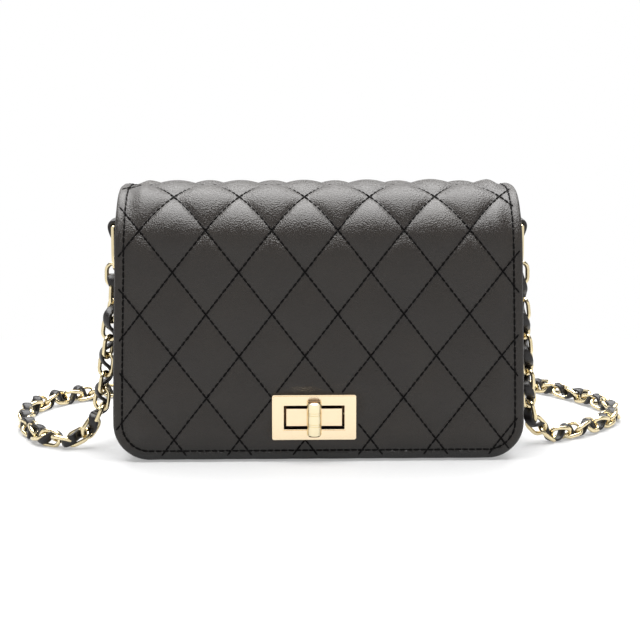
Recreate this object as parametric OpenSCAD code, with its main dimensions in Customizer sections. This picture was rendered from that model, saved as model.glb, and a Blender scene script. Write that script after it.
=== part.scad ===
// Quilted flap bag with a turn lock and a chain strap laced with leather.
// The bag stands on its base: origin at the middle of the base, front towards -Y, +Z up.

/* [Bag] */
// Width of the flap, side to side
flap_w = 200; // [180:1:230]
// Height of the crown of the closed flap above the ground
bag_h = 133; // [125:1:160]
// Depth from the face of the flap to the face of the back panel
bag_d = 58; // [56:1:80]
// How far the flap stands out past each gusset
overhang = 2; // [1:0.5:4]
// Radius of the lower corners, seen from the front
corner_r = 18; // [12:1:30]
// Radius of the soft roll where the flap turns down over the front
front_roll_r = 30; // [22:1:34]
// Radius of the roll where the flap leaves the back panel
back_roll_r = 14; // [11:1:20]
// Height of the flap's lower edge above the ground
flap_lift = 1; // [0.5:0.5:6]
// Gap between the mouth's binding and the flap's lining above it
mouth_gap = 4.7; // [2:0.1:12]
// Free gap between the flap and the front panel
front_gap = 1.4; // [1.2:0.1:3]
// Free gap under the flap at the gussets' top edges
crown_gap = 0.5; // [0.4:0.1:1.5]
// Gap between the flap's end and the top of the back panel
fold_gap = 0.3; // [0.2:0.1:1]

/* [Layers] */
// Thickness of the outer leather
leather_t = 1.2; // [0.8:0.1:1.6]
// Thickness of the foam that pads the quilting
foam_t = 2.4; // [2.3:0.1:3.5]
// Thickness of the stiffener boards
board_t = 1; // [0.8:0.1:1.5]
// Thickness of the lining cloth
lining_t = 0.5; // [0.3:0.1:0.8]
// Thickness of the board in the base
base_board_t = 1.6; // [1:0.1:3]
// Thickness of the binding along the mouth
binding_t = 0.6; // [0.4:0.1:0.8]
// Height of the binding along the mouth
binding_h = 6; // [4:0.5:10]
// Clearance round a board inside its leather
board_clear = 0.3; // [0.1:0.1:1]

/* [Quilting] */
// Width of a quilted diamond
diamond_w = 32.1; // [28:0.1:40]
// Height of a quilted diamond, measured along the leather
diamond_h = 41.4; // [36:0.1:52]
// How far the quilting stands out of the leather between its seams
puff_h = 1.5; // [1:0.1:2]
// Distance of the border seam from the edges
border = 4.5; // [3:0.5:8]
// Sideways place of the seam crossing nearest the middle
quilt_x = -6.5; // [-16:0.5:16]
// Height of the lowest seam crossings on the face
quilt_z = 10; // [0:0.5:40]

/* [Pocket] */
// Width of the slip pocket on the back lining
pocket_w = 120; // [60:5:150]
// Height of the slip pocket's top edge
pocket_top = 88; // [60:1:100]
// Height of the slip pocket's lower seam
pocket_bottom = 30; // [10:1:50]
// Slack between the slip pocket and the lining behind it
pocket_gap = 0.8; // [0.4:0.1:2]

/* [Lock] */
// Width of the lock's frame
lock_w = 41; // [36:0.5:50]
// Height of the lock's frame
lock_h = 22.2; // [20:0.1:26]
// Thickness of the lock's frame in front of the leather
lock_t = 2.4; // [1.8:0.1:3]
// Width of the frame's slot
slot_w = 29.6; // [29.4:0.1:31]
// Height of the frame's slot
slot_h = 11.7; // [10.5:0.1:13]
// Width of the sloping band round the frame's face
frame_bevel = 1; // [0.4:0.1:1.6]
// Height of the lock's centre above the ground
lock_z = 22.5; // [20:0.5:40]
// Sideways place of the lock's centre
lock_x = -2.5; // [-10:0.5:10]
// Width of the block that fills the slot
block_w = 27.2; // [22:0.1:28]
// Height of the block that fills the slot
block_h = 8.6; // [7:0.1:9.5]
// How far the block's face lies behind the frame's face
block_sink = 0.7; // [0.2:0.1:1.5]
// Thickness of the block's flange on the front panel
flange_t = 0.8; // [0.5:0.1:1]
// How far the flange stands out past the block
flange_rim = 3.4; // [2.5:0.1:4]
// Length of the turning bar
toggle_l = 17.1; // [15:0.1:19]
// Width of the turning bar
toggle_w = 7.2; // [6:0.1:8]
// Thickness of the turning bar, front to back
toggle_t = 5.4; // [4:0.1:6]
// Gap between the turning bar and the frame's face
toggle_gap = 0.4; // [0.3:0.1:1]
// Radius of the spindle that the bar turns on
spindle_r = 1.5; // [1.2:0.1:1.8]
// Radial running clearance round the spindle
spindle_clear = 0.06; // [0.03:0.01:0.1]
// Radius of the lock's rivets
rivet_r = 0.7; // [0.5:0.1:0.9]

/* [Rings and tabs] */
// Height of the flap's crown above the rings' pivots
ring_drop = 20; // [17:0.5:25]
// Radius of the rings' wire
ring_wire_r = 1.25; // [1:0.05:1.4]
// Radius of a ring's bow, to the middle of the wire
ring_bow_r = 10; // [8.5:0.25:12]
// Length of a ring's straight sides
ring_side = 12; // [10:0.5:14]
// Width of the leather tab that holds a ring
tab_w = 12; // [8:0.5:14]
// Thickness of the tab's leather
tab_t = 2.4; // [2:0.1:2.8]
// Length of a tab below the ring's pivot
tab_drop = 17; // [12:0.5:18]
// Running clearance round the ring's straight bar
ring_clear = 0.08; // [0.03:0.01:0.1]

/* [Chain strap] */
// Radius of the chain's wire
wire_r = 0.85; // [0.6:0.05:0.9]
// Outside length of a link
link_l = 13; // [12.5:0.1:13.6]
// Outside width of a link
link_w = 9; // [8.6:0.1:9.6]
// Distance from link to link where the chain hangs tight
tight_pitch = 9.3; // [9:0.05:9.4]
// Distance from link to link where the chain lies slack
slack_pitch = 8; // [7.6:0.1:8.6]
// Number of links that hang tight at each end
tight_links = 7; // [5:1:8]
// Width of the leather lace
lace_w = 6; // [4:0.5:7]
// Thickness of the leather lace
lace_t = 1.6; // [1:0.1:2]

/* [Hidden] */
$fn = 48;
EPS = 0.01;

// Depths, from front to back
flap_t = leather_t + foam_t + board_t + lining_t;
lock_proud = lock_t + toggle_gap + toggle_t;
back_y = (bag_d + lock_proud) / 2;
front_y = back_y - bag_d;
panel_y = front_y + flap_t + front_gap;
front_stack = leather_t + board_t + foam_t + lining_t;
back_stack = leather_t + foam_t + board_t + lining_t;
inner_front_y = panel_y + front_stack;
inner_back_y = back_y - back_stack;

// Widths and heights
body_w = flap_w - 2 * overhang;
gusset_x = body_w / 2;
fold_z = bag_h - back_roll_r;
gusset_front_y = panel_y + leather_t;
gusset_back_y = back_y - leather_t;
gusset_mid_y = (gusset_front_y + gusset_back_y) / 2;
inner_z = leather_t + base_board_t + lining_t;

// The mouth comes up under the front roll, as far as its binding stays clear of the flap.
roll_inner_r = front_roll_r - flap_t;
binding_reach = roll_inner_r - front_gap + binding_t;
mouth_h = bag_h - front_roll_r + sqrt(pow(roll_inner_r, 2) - pow(binding_reach, 2))
    - binding_t - mouth_gap;

// Lock
slot_clear = 0.8;
frame_face_y = front_y - lock_t;
block_face_y = frame_face_y + block_sink;
toggle_back_y = frame_face_y - toggle_gap;
plate_rim = 2.2;
rivet_x = (lock_w + slot_w) / 4;
rivet_z = lock_h / 2 - 2.4;
rivet_clear = 0.1;
washer_t = 0.8;
head_t = 1;
board_back_y = panel_y + leather_t + board_t;
block_rivet_x = block_w / 2 + flange_rim / 2;
neck_r = 2.4;

// Rings
ring_z = bag_h - ring_drop;
ring_x = gusset_x + tab_t + ring_wire_r + ring_clear;
ring_bow_z = ring_z - ring_side;
tab_outer_r = ring_wire_r + ring_clear + tab_t;

// ---------------------------------------------------------------- shared outlines

// Side view (y, z) of everything within the flap's outer face, drawn in by the inset.
module side_view(inset) {
    foot = -20;
    translate([front_y + front_roll_r, bag_h - front_roll_r]) circle(r = front_roll_r - inset);
    translate([back_y - back_roll_r, fold_z]) circle(r = back_roll_r - inset);
    translate([front_y + front_roll_r, foot])
        square([bag_d - front_roll_r - back_roll_r, bag_h - inset - foot]);
    translate([front_y + inset, foot])
        square([front_roll_r - inset + EPS, bag_h - front_roll_r - foot]);
    translate([back_y - back_roll_r - EPS, foot])
        square([back_roll_r - inset + EPS, fold_z - foot]);
}

// Front view (x, z) of a panel with two round lower corners.
module front_view(width, low, high, radius) {
    for (side = [-1, 1])
        translate([side * (width / 2 - radius), low + radius]) circle(r = radius);
    translate([-width / 2 + radius, low]) square([width - 2 * radius, high - low]);
    translate([-width / 2, low + radius]) square([width, high - low - radius]);
}

// Raises a (y, z) outline into a solid that runs along X, centred.
module along_x(width) {
    rotate([90, 0, 90]) linear_extrude(width, center = true) children();
}

// Raises an (x, z) outline into a solid between two depths.
module along_y(from_y, to_y) {
    translate([0, to_y, 0]) rotate([90, 0, 0]) linear_extrude(to_y - from_y) children();
}

module rounded_rect(width, height, radius) {
    for (sx = [-1, 1], sz = [-1, 1])
        translate([sx * (width / 2 - radius), sz * (height / 2 - radius)]) circle(r = radius);
    square([width - 2 * radius, height], center = true);
    square([width, height - 2 * radius], center = true);
}

module at_lock() {
    translate([lock_x, 0, lock_z]) children();
}

// ---------------------------------------------------------------- quilting

// Lengths along the leather, from its foot up the face, over the top and down the back.
face_end = bag_h - front_roll_r;
roll_end = face_end + front_roll_r * PI / 2;
top_end = roll_end + bag_d - front_roll_r - back_roll_r;
hinge_s = top_end + back_roll_r * PI / 2;
back_end = hinge_s + fold_z;
function arc_deg(run, radius) = min(max(run / radius * 180 / PI, 0), 90);

// Point on the leather, by its place across and along it, standing out by the rise.
function on_leather(x, s, rise) = let (
    front_turn = arc_deg(s - face_end, front_roll_r),
    back_turn = arc_deg(s - top_end, back_roll_r),
    turn = front_turn + back_turn
) [
    x,
    front_y + front_roll_r * (1 - cos(front_turn)) + min(max(s - roll_end, 0), top_end - roll_end)
        + back_roll_r * sin(back_turn) - rise * cos(turn),
    min(s, face_end) + front_roll_r * sin(front_turn) - back_roll_r * (1 - cos(back_turn))
        - max(s - hinge_s, 0) + rise * sin(turn)
];

// Places round a diamond drawn in to a share of its size, each side in some parts.
function diamond_ring(cx, cs, share, parts, rise) = [for (side = [0 : 3], k = [0 : parts - 1]) let (
    t = k / parts, from = 90 * side, to = from + 90
) on_leather(
    cx + share * diamond_w / 2 * ((1 - t) * cos(from) + t * cos(to)),
    cs + share * diamond_h / 2 * ((1 - t) * sin(from) + t * sin(to)),
    rise
)];

// Rings of a cushion, as shares of the diamond and of the quilting's height: from the middle of
// its underside, just inside the leather, out to its seams and up to its crown.
sunk = leather_t / 8;
CUSHION = [[0.5, 0], [0.97, 0], [0.74, 0.62], [0.36, 1]];

module cushion(cx, cs) {
    flat = cs + diamond_h / 2 <= face_end || cs - diamond_h / 2 >= hinge_s;
    parts = flat ? 1 : 3;
    around = 4 * parts;
    rings = [for (c = CUSHION) each
        diamond_ring(cx, cs, c[0], parts, c[1] == 0 ? -sunk : c[1] * puff_h)];
    last = len(CUSHION) - 1;
    foot = len(rings);
    polyhedron(
        points = concat(rings, [on_leather(cx, cs, -sunk), on_leather(cx, cs, puff_h)]),
        faces = concat(
            [for (k = [0 : around - 1]) [foot, k, (k + 1) % around]],
            [for (i = [0 : last - 1], k = [0 : around - 1], half = [0, 1]) let (
                a = i * around + k, b = i * around + (k + 1) % around
            ) half == 0 ? [a, b + around, b] : [a, a + around, b + around]],
            [for (k = [0 : around - 1])
                [last * around + (k + 1) % around, last * around + k, foot + 1]]
        )
    );
}

// Cushions whose middles lie between two lengths along the leather.
module cushions(low, high) {
    half_rows = ceil(back_end / diamond_h * 2);
    half_columns = ceil(flap_w / diamond_w);
    for (row = [0 : half_rows], column = [-half_columns : half_columns]) {
        cx = quilt_x + column * diamond_w / 2;
        cs = quilt_z + row * diamond_h / 2;
        if ((row + column + 2 * half_columns) % 2 == 1 && cs > low - diamond_h / 2
            && cs < high + diamond_h / 2 && abs(cx) < (flap_w + diamond_w) / 2 - border)
            cushion(cx, cs);
    }
}

// Distance from the fold line that the quilting leaves free, so that the flap can lie back.
fold_clear = 7;

module flap_quilting() {
    face = flap_w - 2 * border;
    difference() {
        intersection() {
            cushions(0, hinge_s - fold_clear);
            along_y(front_y - 2 * puff_h, back_y)
                front_view(face, flap_lift + border, bag_h + 2 * puff_h, corner_r - border);
            translate([-flap_w, front_y - 2 * puff_h, 0])
                cube([2 * flap_w, bag_d + 2 * puff_h, bag_h + 2 * puff_h]);
        }
        translate([-flap_w, gusset_mid_y, 0])
            cube([2 * flap_w, bag_d, fold_z + fold_clear]);
        at_lock() along_y(front_y - 3 * puff_h, front_y + 1)
            rounded_rect(lock_w + 2, lock_h + 2, 1);
    }
}

module back_quilting() {
    intersection() {
        cushions(hinge_s + fold_clear, back_end);
        along_y(gusset_back_y, back_y + 2 * puff_h)
            front_view(body_w - 2 * border, border, fold_z - fold_clear, corner_r - border);
    }
}

// ---------------------------------------------------------------- flap

// One layer of the flap, between two depths below its face, drawn in at its edges by the rim.
module flap_layer(outer, inner, rim) {
    intersection() {
        along_x(flap_w - 2 * rim) difference() {
            side_view(outer);
            side_view(inner);
            translate([back_y - back_roll_r, -bag_h]) square([back_roll_r + 1, bag_h + fold_z]);
        }
        along_y(front_y - 1, back_y + 1)
            front_view(flap_w - 2 * rim, flap_lift + rim, bag_h + 1, corner_r - rim);
    }
}

// The hole through the flap that the lock's block passes.
module flap_slot(clear) {
    at_lock() along_y(front_y - 1, front_y + flap_t + 1)
        square([slot_w + 2 * clear, slot_h + 2 * clear], center = true);
}

module frame_rivet_places() {
    at_lock() for (sx = [-1, 1], sz = [-1, 1])
        translate([sx * rivet_x, 0, sz * rivet_z]) children();
}

module frame_rivet_holes() {
    frame_rivet_places() translate([0, front_y - EPS, 0]) rotate([-90, 0, 0])
        cylinder(r = rivet_r + rivet_clear, h = leather_t + foam_t + board_t + 2 * EPS);
}

// Outer leather: the quilted face, and its edges turned in round the foam and the board.
module flap_leather() color("#2e2d2c") {
    difference() {
        flap_layer(0, flap_t - lining_t, 0);
        flap_layer(leather_t, flap_t, leather_t);
        flap_slot(slot_clear);
        frame_rivet_holes();
    }
    flap_quilting();
}

module flap_foam() color("#d8d2c4") difference() {
    flap_layer(leather_t, leather_t + foam_t, leather_t + board_clear);
    flap_slot(slot_clear);
    frame_rivet_holes();
}

module flap_board() color("#8b7b66") difference() {
    flap_layer(leather_t + foam_t, leather_t + foam_t + board_t, leather_t + board_clear);
    flap_slot(slot_clear);
    at_lock() along_y(front_y + leather_t + foam_t - EPS, front_y + flap_t)
        rounded_rect(lock_w - plate_rim + 0.4, lock_h - plate_rim + 0.4, 1);
}

module flap_lining() color("#1b1b1d") difference() {
    flap_layer(flap_t - lining_t, flap_t, 2 * leather_t);
    flap_slot(slot_clear);
}

// Frame on the face of the flap, sloped round its outside and its slot.
module lock_frame() color("#f2e4c4") at_lock() difference() {
    union() {
        along_y(frame_face_y + frame_bevel / 2, front_y) rounded_rect(lock_w, lock_h, 1);
        along_y(frame_face_y, front_y)
            rounded_rect(lock_w - frame_bevel, lock_h - frame_bevel, 1);
    }
    along_y(frame_face_y - 1, front_y + 1) square([slot_w, slot_h], center = true);
    along_y(frame_face_y - 1, frame_face_y + frame_bevel / 2)
        square([slot_w + frame_bevel, slot_h + frame_bevel], center = true);
}

// Plate behind the foam that the frame's rivets are closed on.
module lock_frame_plate() color("#c9b88e") at_lock() difference() {
    along_y(front_y + leather_t + foam_t, front_y + leather_t + foam_t + board_t)
        rounded_rect(lock_w - plate_rim, lock_h - plate_rim, 1);
    along_y(front_y, front_y + flap_t) square([slot_w + 1, slot_h + 1], center = true);
    for (sx = [-1, 1], sz = [-1, 1])
        translate([sx * rivet_x, front_y, sz * rivet_z]) rotate([-90, 0, 0])
            cylinder(r = rivet_r, h = flap_t);
}

module lock_frame_rivets() color("#e8d8b4") frame_rivet_places()
    translate([0, front_y, 0]) rotate([-90, 0, 0])
        cylinder(r = rivet_r, h = leather_t + foam_t + board_t);

// ---------------------------------------------------------------- body of the bag

module body_panel(from_y, to_y, rim, high) {
    along_y(from_y, to_y)
        front_view(body_w - 2 * rim, rim, high, corner_r - rim);
}

module back_leather() color("#2e2d2c") {
    body_panel(gusset_back_y, back_y, 0, fold_z - fold_gap);
    back_quilting();
}

module back_foam() color("#d8d2c4")
    body_panel(gusset_back_y - foam_t, gusset_back_y, leather_t + board_clear, fold_z - fold_gap);

module back_board() color("#8b7b66")
    body_panel(gusset_back_y - foam_t - board_t, gusset_back_y - foam_t,
               leather_t + board_clear, fold_z - fold_gap);

module spindle_hole(radius) {
    at_lock() translate([0, panel_y - EPS, 0]) rotate([-90, 0, 0])
        cylinder(r = radius, h = front_stack + 2 * EPS);
}

module block_rivet_places() {
    at_lock() for (side = [-1, 1]) translate([side * block_rivet_x, 0, 0]) children();
}

module block_rivet_holes() {
    block_rivet_places() translate([0, panel_y - EPS, 0]) rotate([-90, 0, 0])
        cylinder(r = rivet_r + rivet_clear, h = leather_t + board_t + 2 * EPS);
}

module front_leather() color("#2e2d2c") difference() {
    body_panel(panel_y, gusset_front_y, 0, mouth_h);
    spindle_hole(spindle_r + 0.5);
    block_rivet_holes();
}

module front_board() color("#8b7b66") difference() {
    body_panel(gusset_front_y, board_back_y, leather_t + board_clear, mouth_h);
    spindle_hole(spindle_r + 0.5);
    block_rivet_holes();
}

// Foam behind the front board, cut out round the lock's plate.
module front_foam() color("#d8d2c4") difference() {
    body_panel(board_back_y, board_back_y + foam_t, leather_t + board_clear, mouth_h);
    at_lock() along_y(board_back_y - EPS, board_back_y + foam_t + EPS)
        rounded_rect(block_w + 2 * flange_rim + 2, block_h + 2 * flange_rim + 2, 2);
}

// The strip that joins the front to the back: up one side, round the corners and under.
module gusset_strip(rim, wall) {
    intersection() {
        along_y(gusset_front_y + rim, gusset_back_y - rim) difference() {
            front_view(body_w - 2 * rim, rim, bag_h, corner_r - rim);
            translate([0, 0]) front_view(body_w - 2 * rim - 2 * wall, rim + wall, bag_h + 1,
                                         corner_r - rim - wall);
        }
        union() {
            along_x(flap_w) side_view(flap_t + crown_gap);
            translate([-flap_w, gusset_front_y, -1])
                cube([2 * flap_w, gusset_back_y - gusset_front_y, mouth_h + 1]);
            translate([-flap_w, gusset_mid_y, -1])
                cube([2 * flap_w, gusset_back_y - gusset_mid_y, fold_z - fold_gap + 1]);
        }
    }
}

module gusset_side(side) {
    low_x = side > 0 ? gusset_x - corner_r : -gusset_x - 1;
    intersection() {
        gusset_strip(0, leather_t);
        translate([low_x, front_y, -1]) cube([corner_r + 1, bag_d, bag_h + 1]);
    }
}

module gusset_left() color("#2e2d2c") gusset_side(-1);
module gusset_right() color("#2e2d2c") gusset_side(1);

module gusset_base() color("#2e2d2c")
    translate([-gusset_x + corner_r, gusset_front_y, 0])
        cube([body_w - 2 * corner_r, gusset_back_y - gusset_front_y, leather_t]);

module base_board() color("#8b7b66")
    translate([-gusset_x + corner_r, board_back_y + foam_t, leather_t])
        cube([body_w - 2 * corner_r, inner_back_y + lining_t - board_back_y - foam_t,
              base_board_t]);

// Height over the ground of the lining's underside, on top of the base board.
lining_z = leather_t + base_board_t;

module lining_panel(from_y, high) {
    along_y(from_y, from_y + lining_t)
        front_view(body_w - 2 * leather_t - 2 * board_clear, lining_z, high,
                   corner_r - leather_t - board_clear);
}

module lining_front() color("#3b3634") difference() {
    lining_panel(inner_front_y - lining_t, mouth_h);
}

module lining_back() color("#3b3634") lining_panel(inner_back_y, fold_z - fold_gap);

// Lining of the sides and the base, in one strip like the gusset.
module lining_gusset() color("#3b3634") intersection() {
    along_y(inner_front_y, inner_back_y) difference() {
        front_view(body_w - 2 * leather_t, lining_z, bag_h, corner_r - leather_t);
        front_view(body_w - 2 * leather_t - 2 * lining_t, inner_z, bag_h + 1,
                   corner_r - leather_t - lining_t);
    }
    along_x(flap_w) side_view(flap_t + crown_gap + 1);
}

// Slip pocket sewn to the back lining along its sides and foot.
module slip_pocket() color("#3b3634") difference() {
    translate([-pocket_w / 2, inner_back_y - pocket_gap - lining_t, pocket_bottom])
        cube([pocket_w, pocket_gap + lining_t, pocket_top - pocket_bottom]);
    translate([-pocket_w / 2 + 2, inner_back_y - pocket_gap, pocket_bottom + 2])
        cube([pocket_w - 4, pocket_gap + 1, pocket_top - pocket_bottom]);
}

// Binding folded over the front panel's top edge.
module mouth_binding() color("#2e2d2c") {
    binding_w = body_w - 2 * (leather_t + lining_t + 1);
    difference() {
        translate([-binding_w / 2, panel_y - binding_t, mouth_h - binding_h])
            cube([binding_w, front_stack + 2 * binding_t, binding_h + binding_t]);
        translate([-binding_w / 2 - 1, panel_y, mouth_h - binding_h - 1])
            cube([binding_w + 2, front_stack, binding_h + 1]);
    }
}

// ---------------------------------------------------------------- turn lock

// Block that fills the frame's slot, with its flange on the front panel.
module lock_block() color("#f6ead0") difference() {
    at_lock() union() {
        along_y(block_face_y, panel_y) square([block_w, block_h], center = true);
        along_y(panel_y - flange_t, panel_y)
            rounded_rect(block_w + 2 * flange_rim, block_h + 2 * flange_rim, 2);
    }
    at_lock() translate([0, block_face_y - 1, 0]) rotate([-90, 0, 0])
        cylinder(r = spindle_r + spindle_clear, h = panel_y - block_face_y + 2);
    block_rivet_places() translate([0, panel_y - flange_t - EPS, 0]) rotate([-90, 0, 0])
        cylinder(r = rivet_r, h = flange_t + 2 * EPS);
}

// Plate behind the front board that the block's rivets are closed on.
module lock_block_plate() color("#c9b88e") difference() {
    at_lock() along_y(board_back_y, board_back_y + washer_t)
        rounded_rect(block_w + 2 * flange_rim, block_h + 2 * flange_rim, 2);
    spindle_hole(spindle_r + spindle_clear);
    block_rivet_places() translate([0, board_back_y - EPS, 0]) rotate([-90, 0, 0])
        cylinder(r = rivet_r, h = washer_t + 2 * EPS);
}

module lock_block_rivets() color("#e8d8b4") block_rivet_places()
    translate([0, panel_y - flange_t, 0]) rotate([-90, 0, 0])
        cylinder(r = rivet_r, h = flange_t + leather_t + board_t + washer_t);

// Turned bar: a barrel with two double grooves, flared at its ends and cut flat behind.
module lock_toggle() color("#f2e4c4") {
    bar_r = toggle_w / 2;
    half_l = toggle_l / 2;
    groove = 0.35;
    groove_w = 0.45;
    groove_z = [-3.3, -2.2, 2.2, 3.3];
    end_bevel = 0.8;
    axis_y = toggle_back_y - toggle_t + bar_r;
    at_lock() difference() {
        translate([0, axis_y, 0]) rotate_extrude() difference() {
            polygon([
                [0, -half_l], [bar_r - end_bevel, -half_l], [bar_r, -half_l + end_bevel],
                [bar_r, half_l - end_bevel], [bar_r - end_bevel, half_l], [0, half_l]
            ]);
            for (z = groove_z)
                translate([bar_r - groove, z - groove_w / 2]) square([1, groove_w]);
        }
        translate([-toggle_w, toggle_back_y, -toggle_l]) cube([2 * toggle_w, toggle_w, 2 * toggle_l]);
        translate([0, toggle_back_y - 1.5, 0]) rotate([-90, 0, 0]) cylinder(r = spindle_r, h = 2);
    }
}

// Spindle: seated in the bar, a neck in front of the block, and a head behind the plate.
module toggle_spindle() color("#d9c8a0") at_lock() {
    head_y = board_back_y + washer_t + 0.5;
    translate([0, toggle_back_y - 1.5, 0]) rotate([-90, 0, 0])
        cylinder(r = spindle_r, h = head_y + head_t - toggle_back_y + 1.5);
    translate([0, toggle_back_y, 0]) rotate([-90, 0, 0])
        cylinder(r = neck_r, h = block_face_y - toggle_back_y - 0.1);
    translate([0, head_y, 0]) rotate([-90, 0, 0]) cylinder(r = neck_r, h = head_t);
}

// Spring washer that holds the bar in its two places.
module toggle_spring_washer() color("#b9a67c") at_lock()
    translate([0, board_back_y + washer_t + 0.1, 0]) rotate([-90, 0, 0]) difference() {
        cylinder(r = neck_r + 1, h = 0.3);
        translate([0, 0, -1]) cylinder(r = spindle_r + spindle_clear, h = 2);
    }

// ---------------------------------------------------------------- rings and tabs

// Leather folded over the ring's bar and sewn flat on the gusset.
module tab() {
    translate([0, gusset_mid_y + tab_w / 2, 0]) rotate([90, 0, 0]) difference() {
        union() {
            translate([ring_x, ring_z, 0]) cylinder(r = tab_outer_r, h = tab_w);
            linear_extrude(tab_w) polygon([
                [gusset_x, ring_z], [ring_x + tab_outer_r - 0.1, ring_z],
                [gusset_x + 2 * tab_t, ring_z - tab_drop / 2],
                [gusset_x + 2 * tab_t, ring_z - tab_drop],
                [gusset_x, ring_z - tab_drop]
            ]);
        }
        translate([ring_x, ring_z, -1]) cylinder(r = ring_wire_r + ring_clear, h = tab_w + 2);
    }
}

module tab_left() color("#2e2d2c") mirror([1, 0, 0]) tab();
module tab_right() color("#2e2d2c") tab();

// D-shaped ring that hangs from its straight bar.
module d_ring(side) {
    translate([side * ring_x, gusset_mid_y, ring_z]) {
        translate([0, -ring_bow_r, 0]) rotate([-90, 0, 0])
            cylinder(r = ring_wire_r, h = 2 * ring_bow_r);
        for (s = [-1, 1]) translate([0, s * ring_bow_r, 0]) {
            sphere(r = ring_wire_r);
            translate([0, 0, -ring_side]) cylinder(r = ring_wire_r, h = ring_side);
        }
        translate([0, 0, -ring_side]) rotate([0, -90, 0]) rotate([0, 0, 90])
            rotate_extrude(angle = 180) translate([ring_bow_r, 0]) circle(r = ring_wire_r);
    }
}

module d_ring_left() color("#e6d6ac") d_ring(-1);
module d_ring_right() color("#e6d6ac") d_ring(1);

// ---------------------------------------------------------------- chain strap

lie = 4.4;
hang_out = 1.2;
hang_x = ring_x + hang_out;
hang_top = ring_bow_z - ring_bow_r;

// The strap's route from the left ring round to the right ring.
ROUTE = [
    [-hang_x, gusset_mid_y, hang_top], [-103.2, 7, 78], [-105, 7, 62], [-107, 7, 46],
    [-109, 6, 31], [-112, 5, 16], [-119, 3, 7],
    [-129, 2, lie], [-140, 9, lie], [-149, 23, lie], [-156, 45, lie], [-157, 67, lie],
    [-151, 84, lie], [-141, 96, lie], [-129, 105, lie], [-114, 112, lie], [-85, 114, lie],
    [-20, 114, lie], [50, 114, lie],
    [63, 109, lie], [68, 96, lie], [63, 83, lie], [50, 78, lie],
    [0, 78, lie], [-66, 78, lie],
    [-79, 73, lie], [-84, 60, lie], [-79, 47, lie], [-66, 42, lie],
    [-20, 42, lie], [50, 42, lie],
    [77, 49, lie], [92, 67, lie], [97, 88, lie], [99, 107, lie], [105, 119, lie],
    [117, 125, lie], [130, 119, lie], [140, 108, lie],
    [148, 97, lie], [156, 84, lie], [162, 68, lie], [162, 51, lie], [154, 36, lie],
    [143, 24, lie], [131, 15, lie], [118, 8, 5], [111, 6, 11],
    [108, 7, 24], [107, 7, 40], [105, 7, 60], [103.2, 7, 78],
    [hang_x, gusset_mid_y, hang_top]
];

// A smooth curve through the points: its slope at each is the mean of the slopes on both
// sides, the nearer neighbour counting more, and a cubic joins them.
LAST = len(ROUTE) - 1;
function gap_after(i) = norm(ROUTE[i + 1] - ROUTE[i]);
function run_after(i) = (ROUTE[i + 1] - ROUTE[i]) / gap_after(i);
function slope_at(i) =
    i == 0 ? run_after(0)
    : i == LAST ? run_after(LAST - 1)
    : (gap_after(i - 1) * run_after(i) + gap_after(i) * run_after(i - 1))
      / (gap_after(i - 1) + gap_after(i));
function route_at(u) =
    let (i = min(floor(u), LAST - 1), t = u - i, g = gap_after(i))
    (2 * t * t * t - 3 * t * t + 1) * ROUTE[i] + (t * t * t - 2 * t * t + t) * g * slope_at(i)
    + (3 * t * t - 2 * t * t * t) * ROUTE[i + 1] + (t * t * t - t * t) * g * slope_at(i + 1);

// The route measured along its length, in short steps.
STEPS = 8;
step_count = LAST * STEPS;
track = [for (k = [0 : step_count]) route_at(k / STEPS)];
reach = [for (k = 0, s = 0; k <= step_count;
              s = k < step_count ? s + norm(track[k + 1] - track[k]) : s, k = k + 1) s];
strap_l = reach[step_count];
place_x = [for (k = [0 : step_count]) [reach[k], track[k][0]]];
place_y = [for (k = [0 : step_count]) [reach[k], track[k][1]]];
place_z = [for (k = [0 : step_count]) [reach[k], track[k][2]]];
function point_at(s) = [lookup(s, place_x), lookup(s, place_y), lookup(s, place_z)];

function unit(v) = v / norm(v);
function along_at(s) = unit(point_at(min(s + 1, strap_l)) - point_at(max(s - 1, 0)));
// Across the strap: level where it lies, turning evenly to face the front where it hangs.
turn_run = 110;
function across_at(s) =
    let (turn = 90 * max(1 - min(s, strap_l - s) / turn_run, 0))
    unit(cross(along_at(s), [0, sin(turn), cos(turn)]));

// Where each link's middle lies along the strap.
bend_r = link_w / 2 - wire_r;
link_side = link_l - link_w;
hang_clear = 0.1;
first_link = sqrt(pow(bend_r - wire_r - ring_wire_r - hang_clear, 2) - hang_out * hang_out)
    + link_side / 2;
tight_run = first_link + (tight_links - 1) * tight_pitch;
slack_gaps = round((strap_l - 2 * tight_run) / slack_pitch);
slack_step = (strap_l - 2 * tight_run) / slack_gaps;
link_places = concat(
    [for (k = [0 : tight_links - 1]) first_link + k * tight_pitch],
    [for (k = [1 : slack_gaps - 1]) tight_run + k * slack_step],
    [for (k = [0 : tight_links - 1]) strap_l - tight_run + k * tight_pitch]
);
link_count = len(link_places);
drop_links = tight_links + 2;
loop_links = 18;

// One link of round wire: two half rings joined by two straight sides, long way along Z.
module link() {
    for (end = [0, 1]) mirror([0, 0, end]) translate([0, 0, link_side / 2]) rotate([90, 0, 0])
        rotate_extrude(angle = 180) translate([bend_r, 0]) circle(r = wire_r);
    for (side = [-1, 1]) translate([side * bend_r, 0, -link_side / 2])
        cylinder(r = wire_r, h = link_side);
}

// Roll of each link: a quarter turn from its neighbours, the end ones square to their rings.
last_link = link_count - 1;
easing = 3;
quarter = 90;
function link_turn(k) = let (
    from_end = min(k, last_link - k),
    base = quarter / 2 * min(from_end / easing, 1)
) (k % 2 == 0 ? 1 : -1) * (from_end % 2 == 0 ? base : quarter - base);

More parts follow.
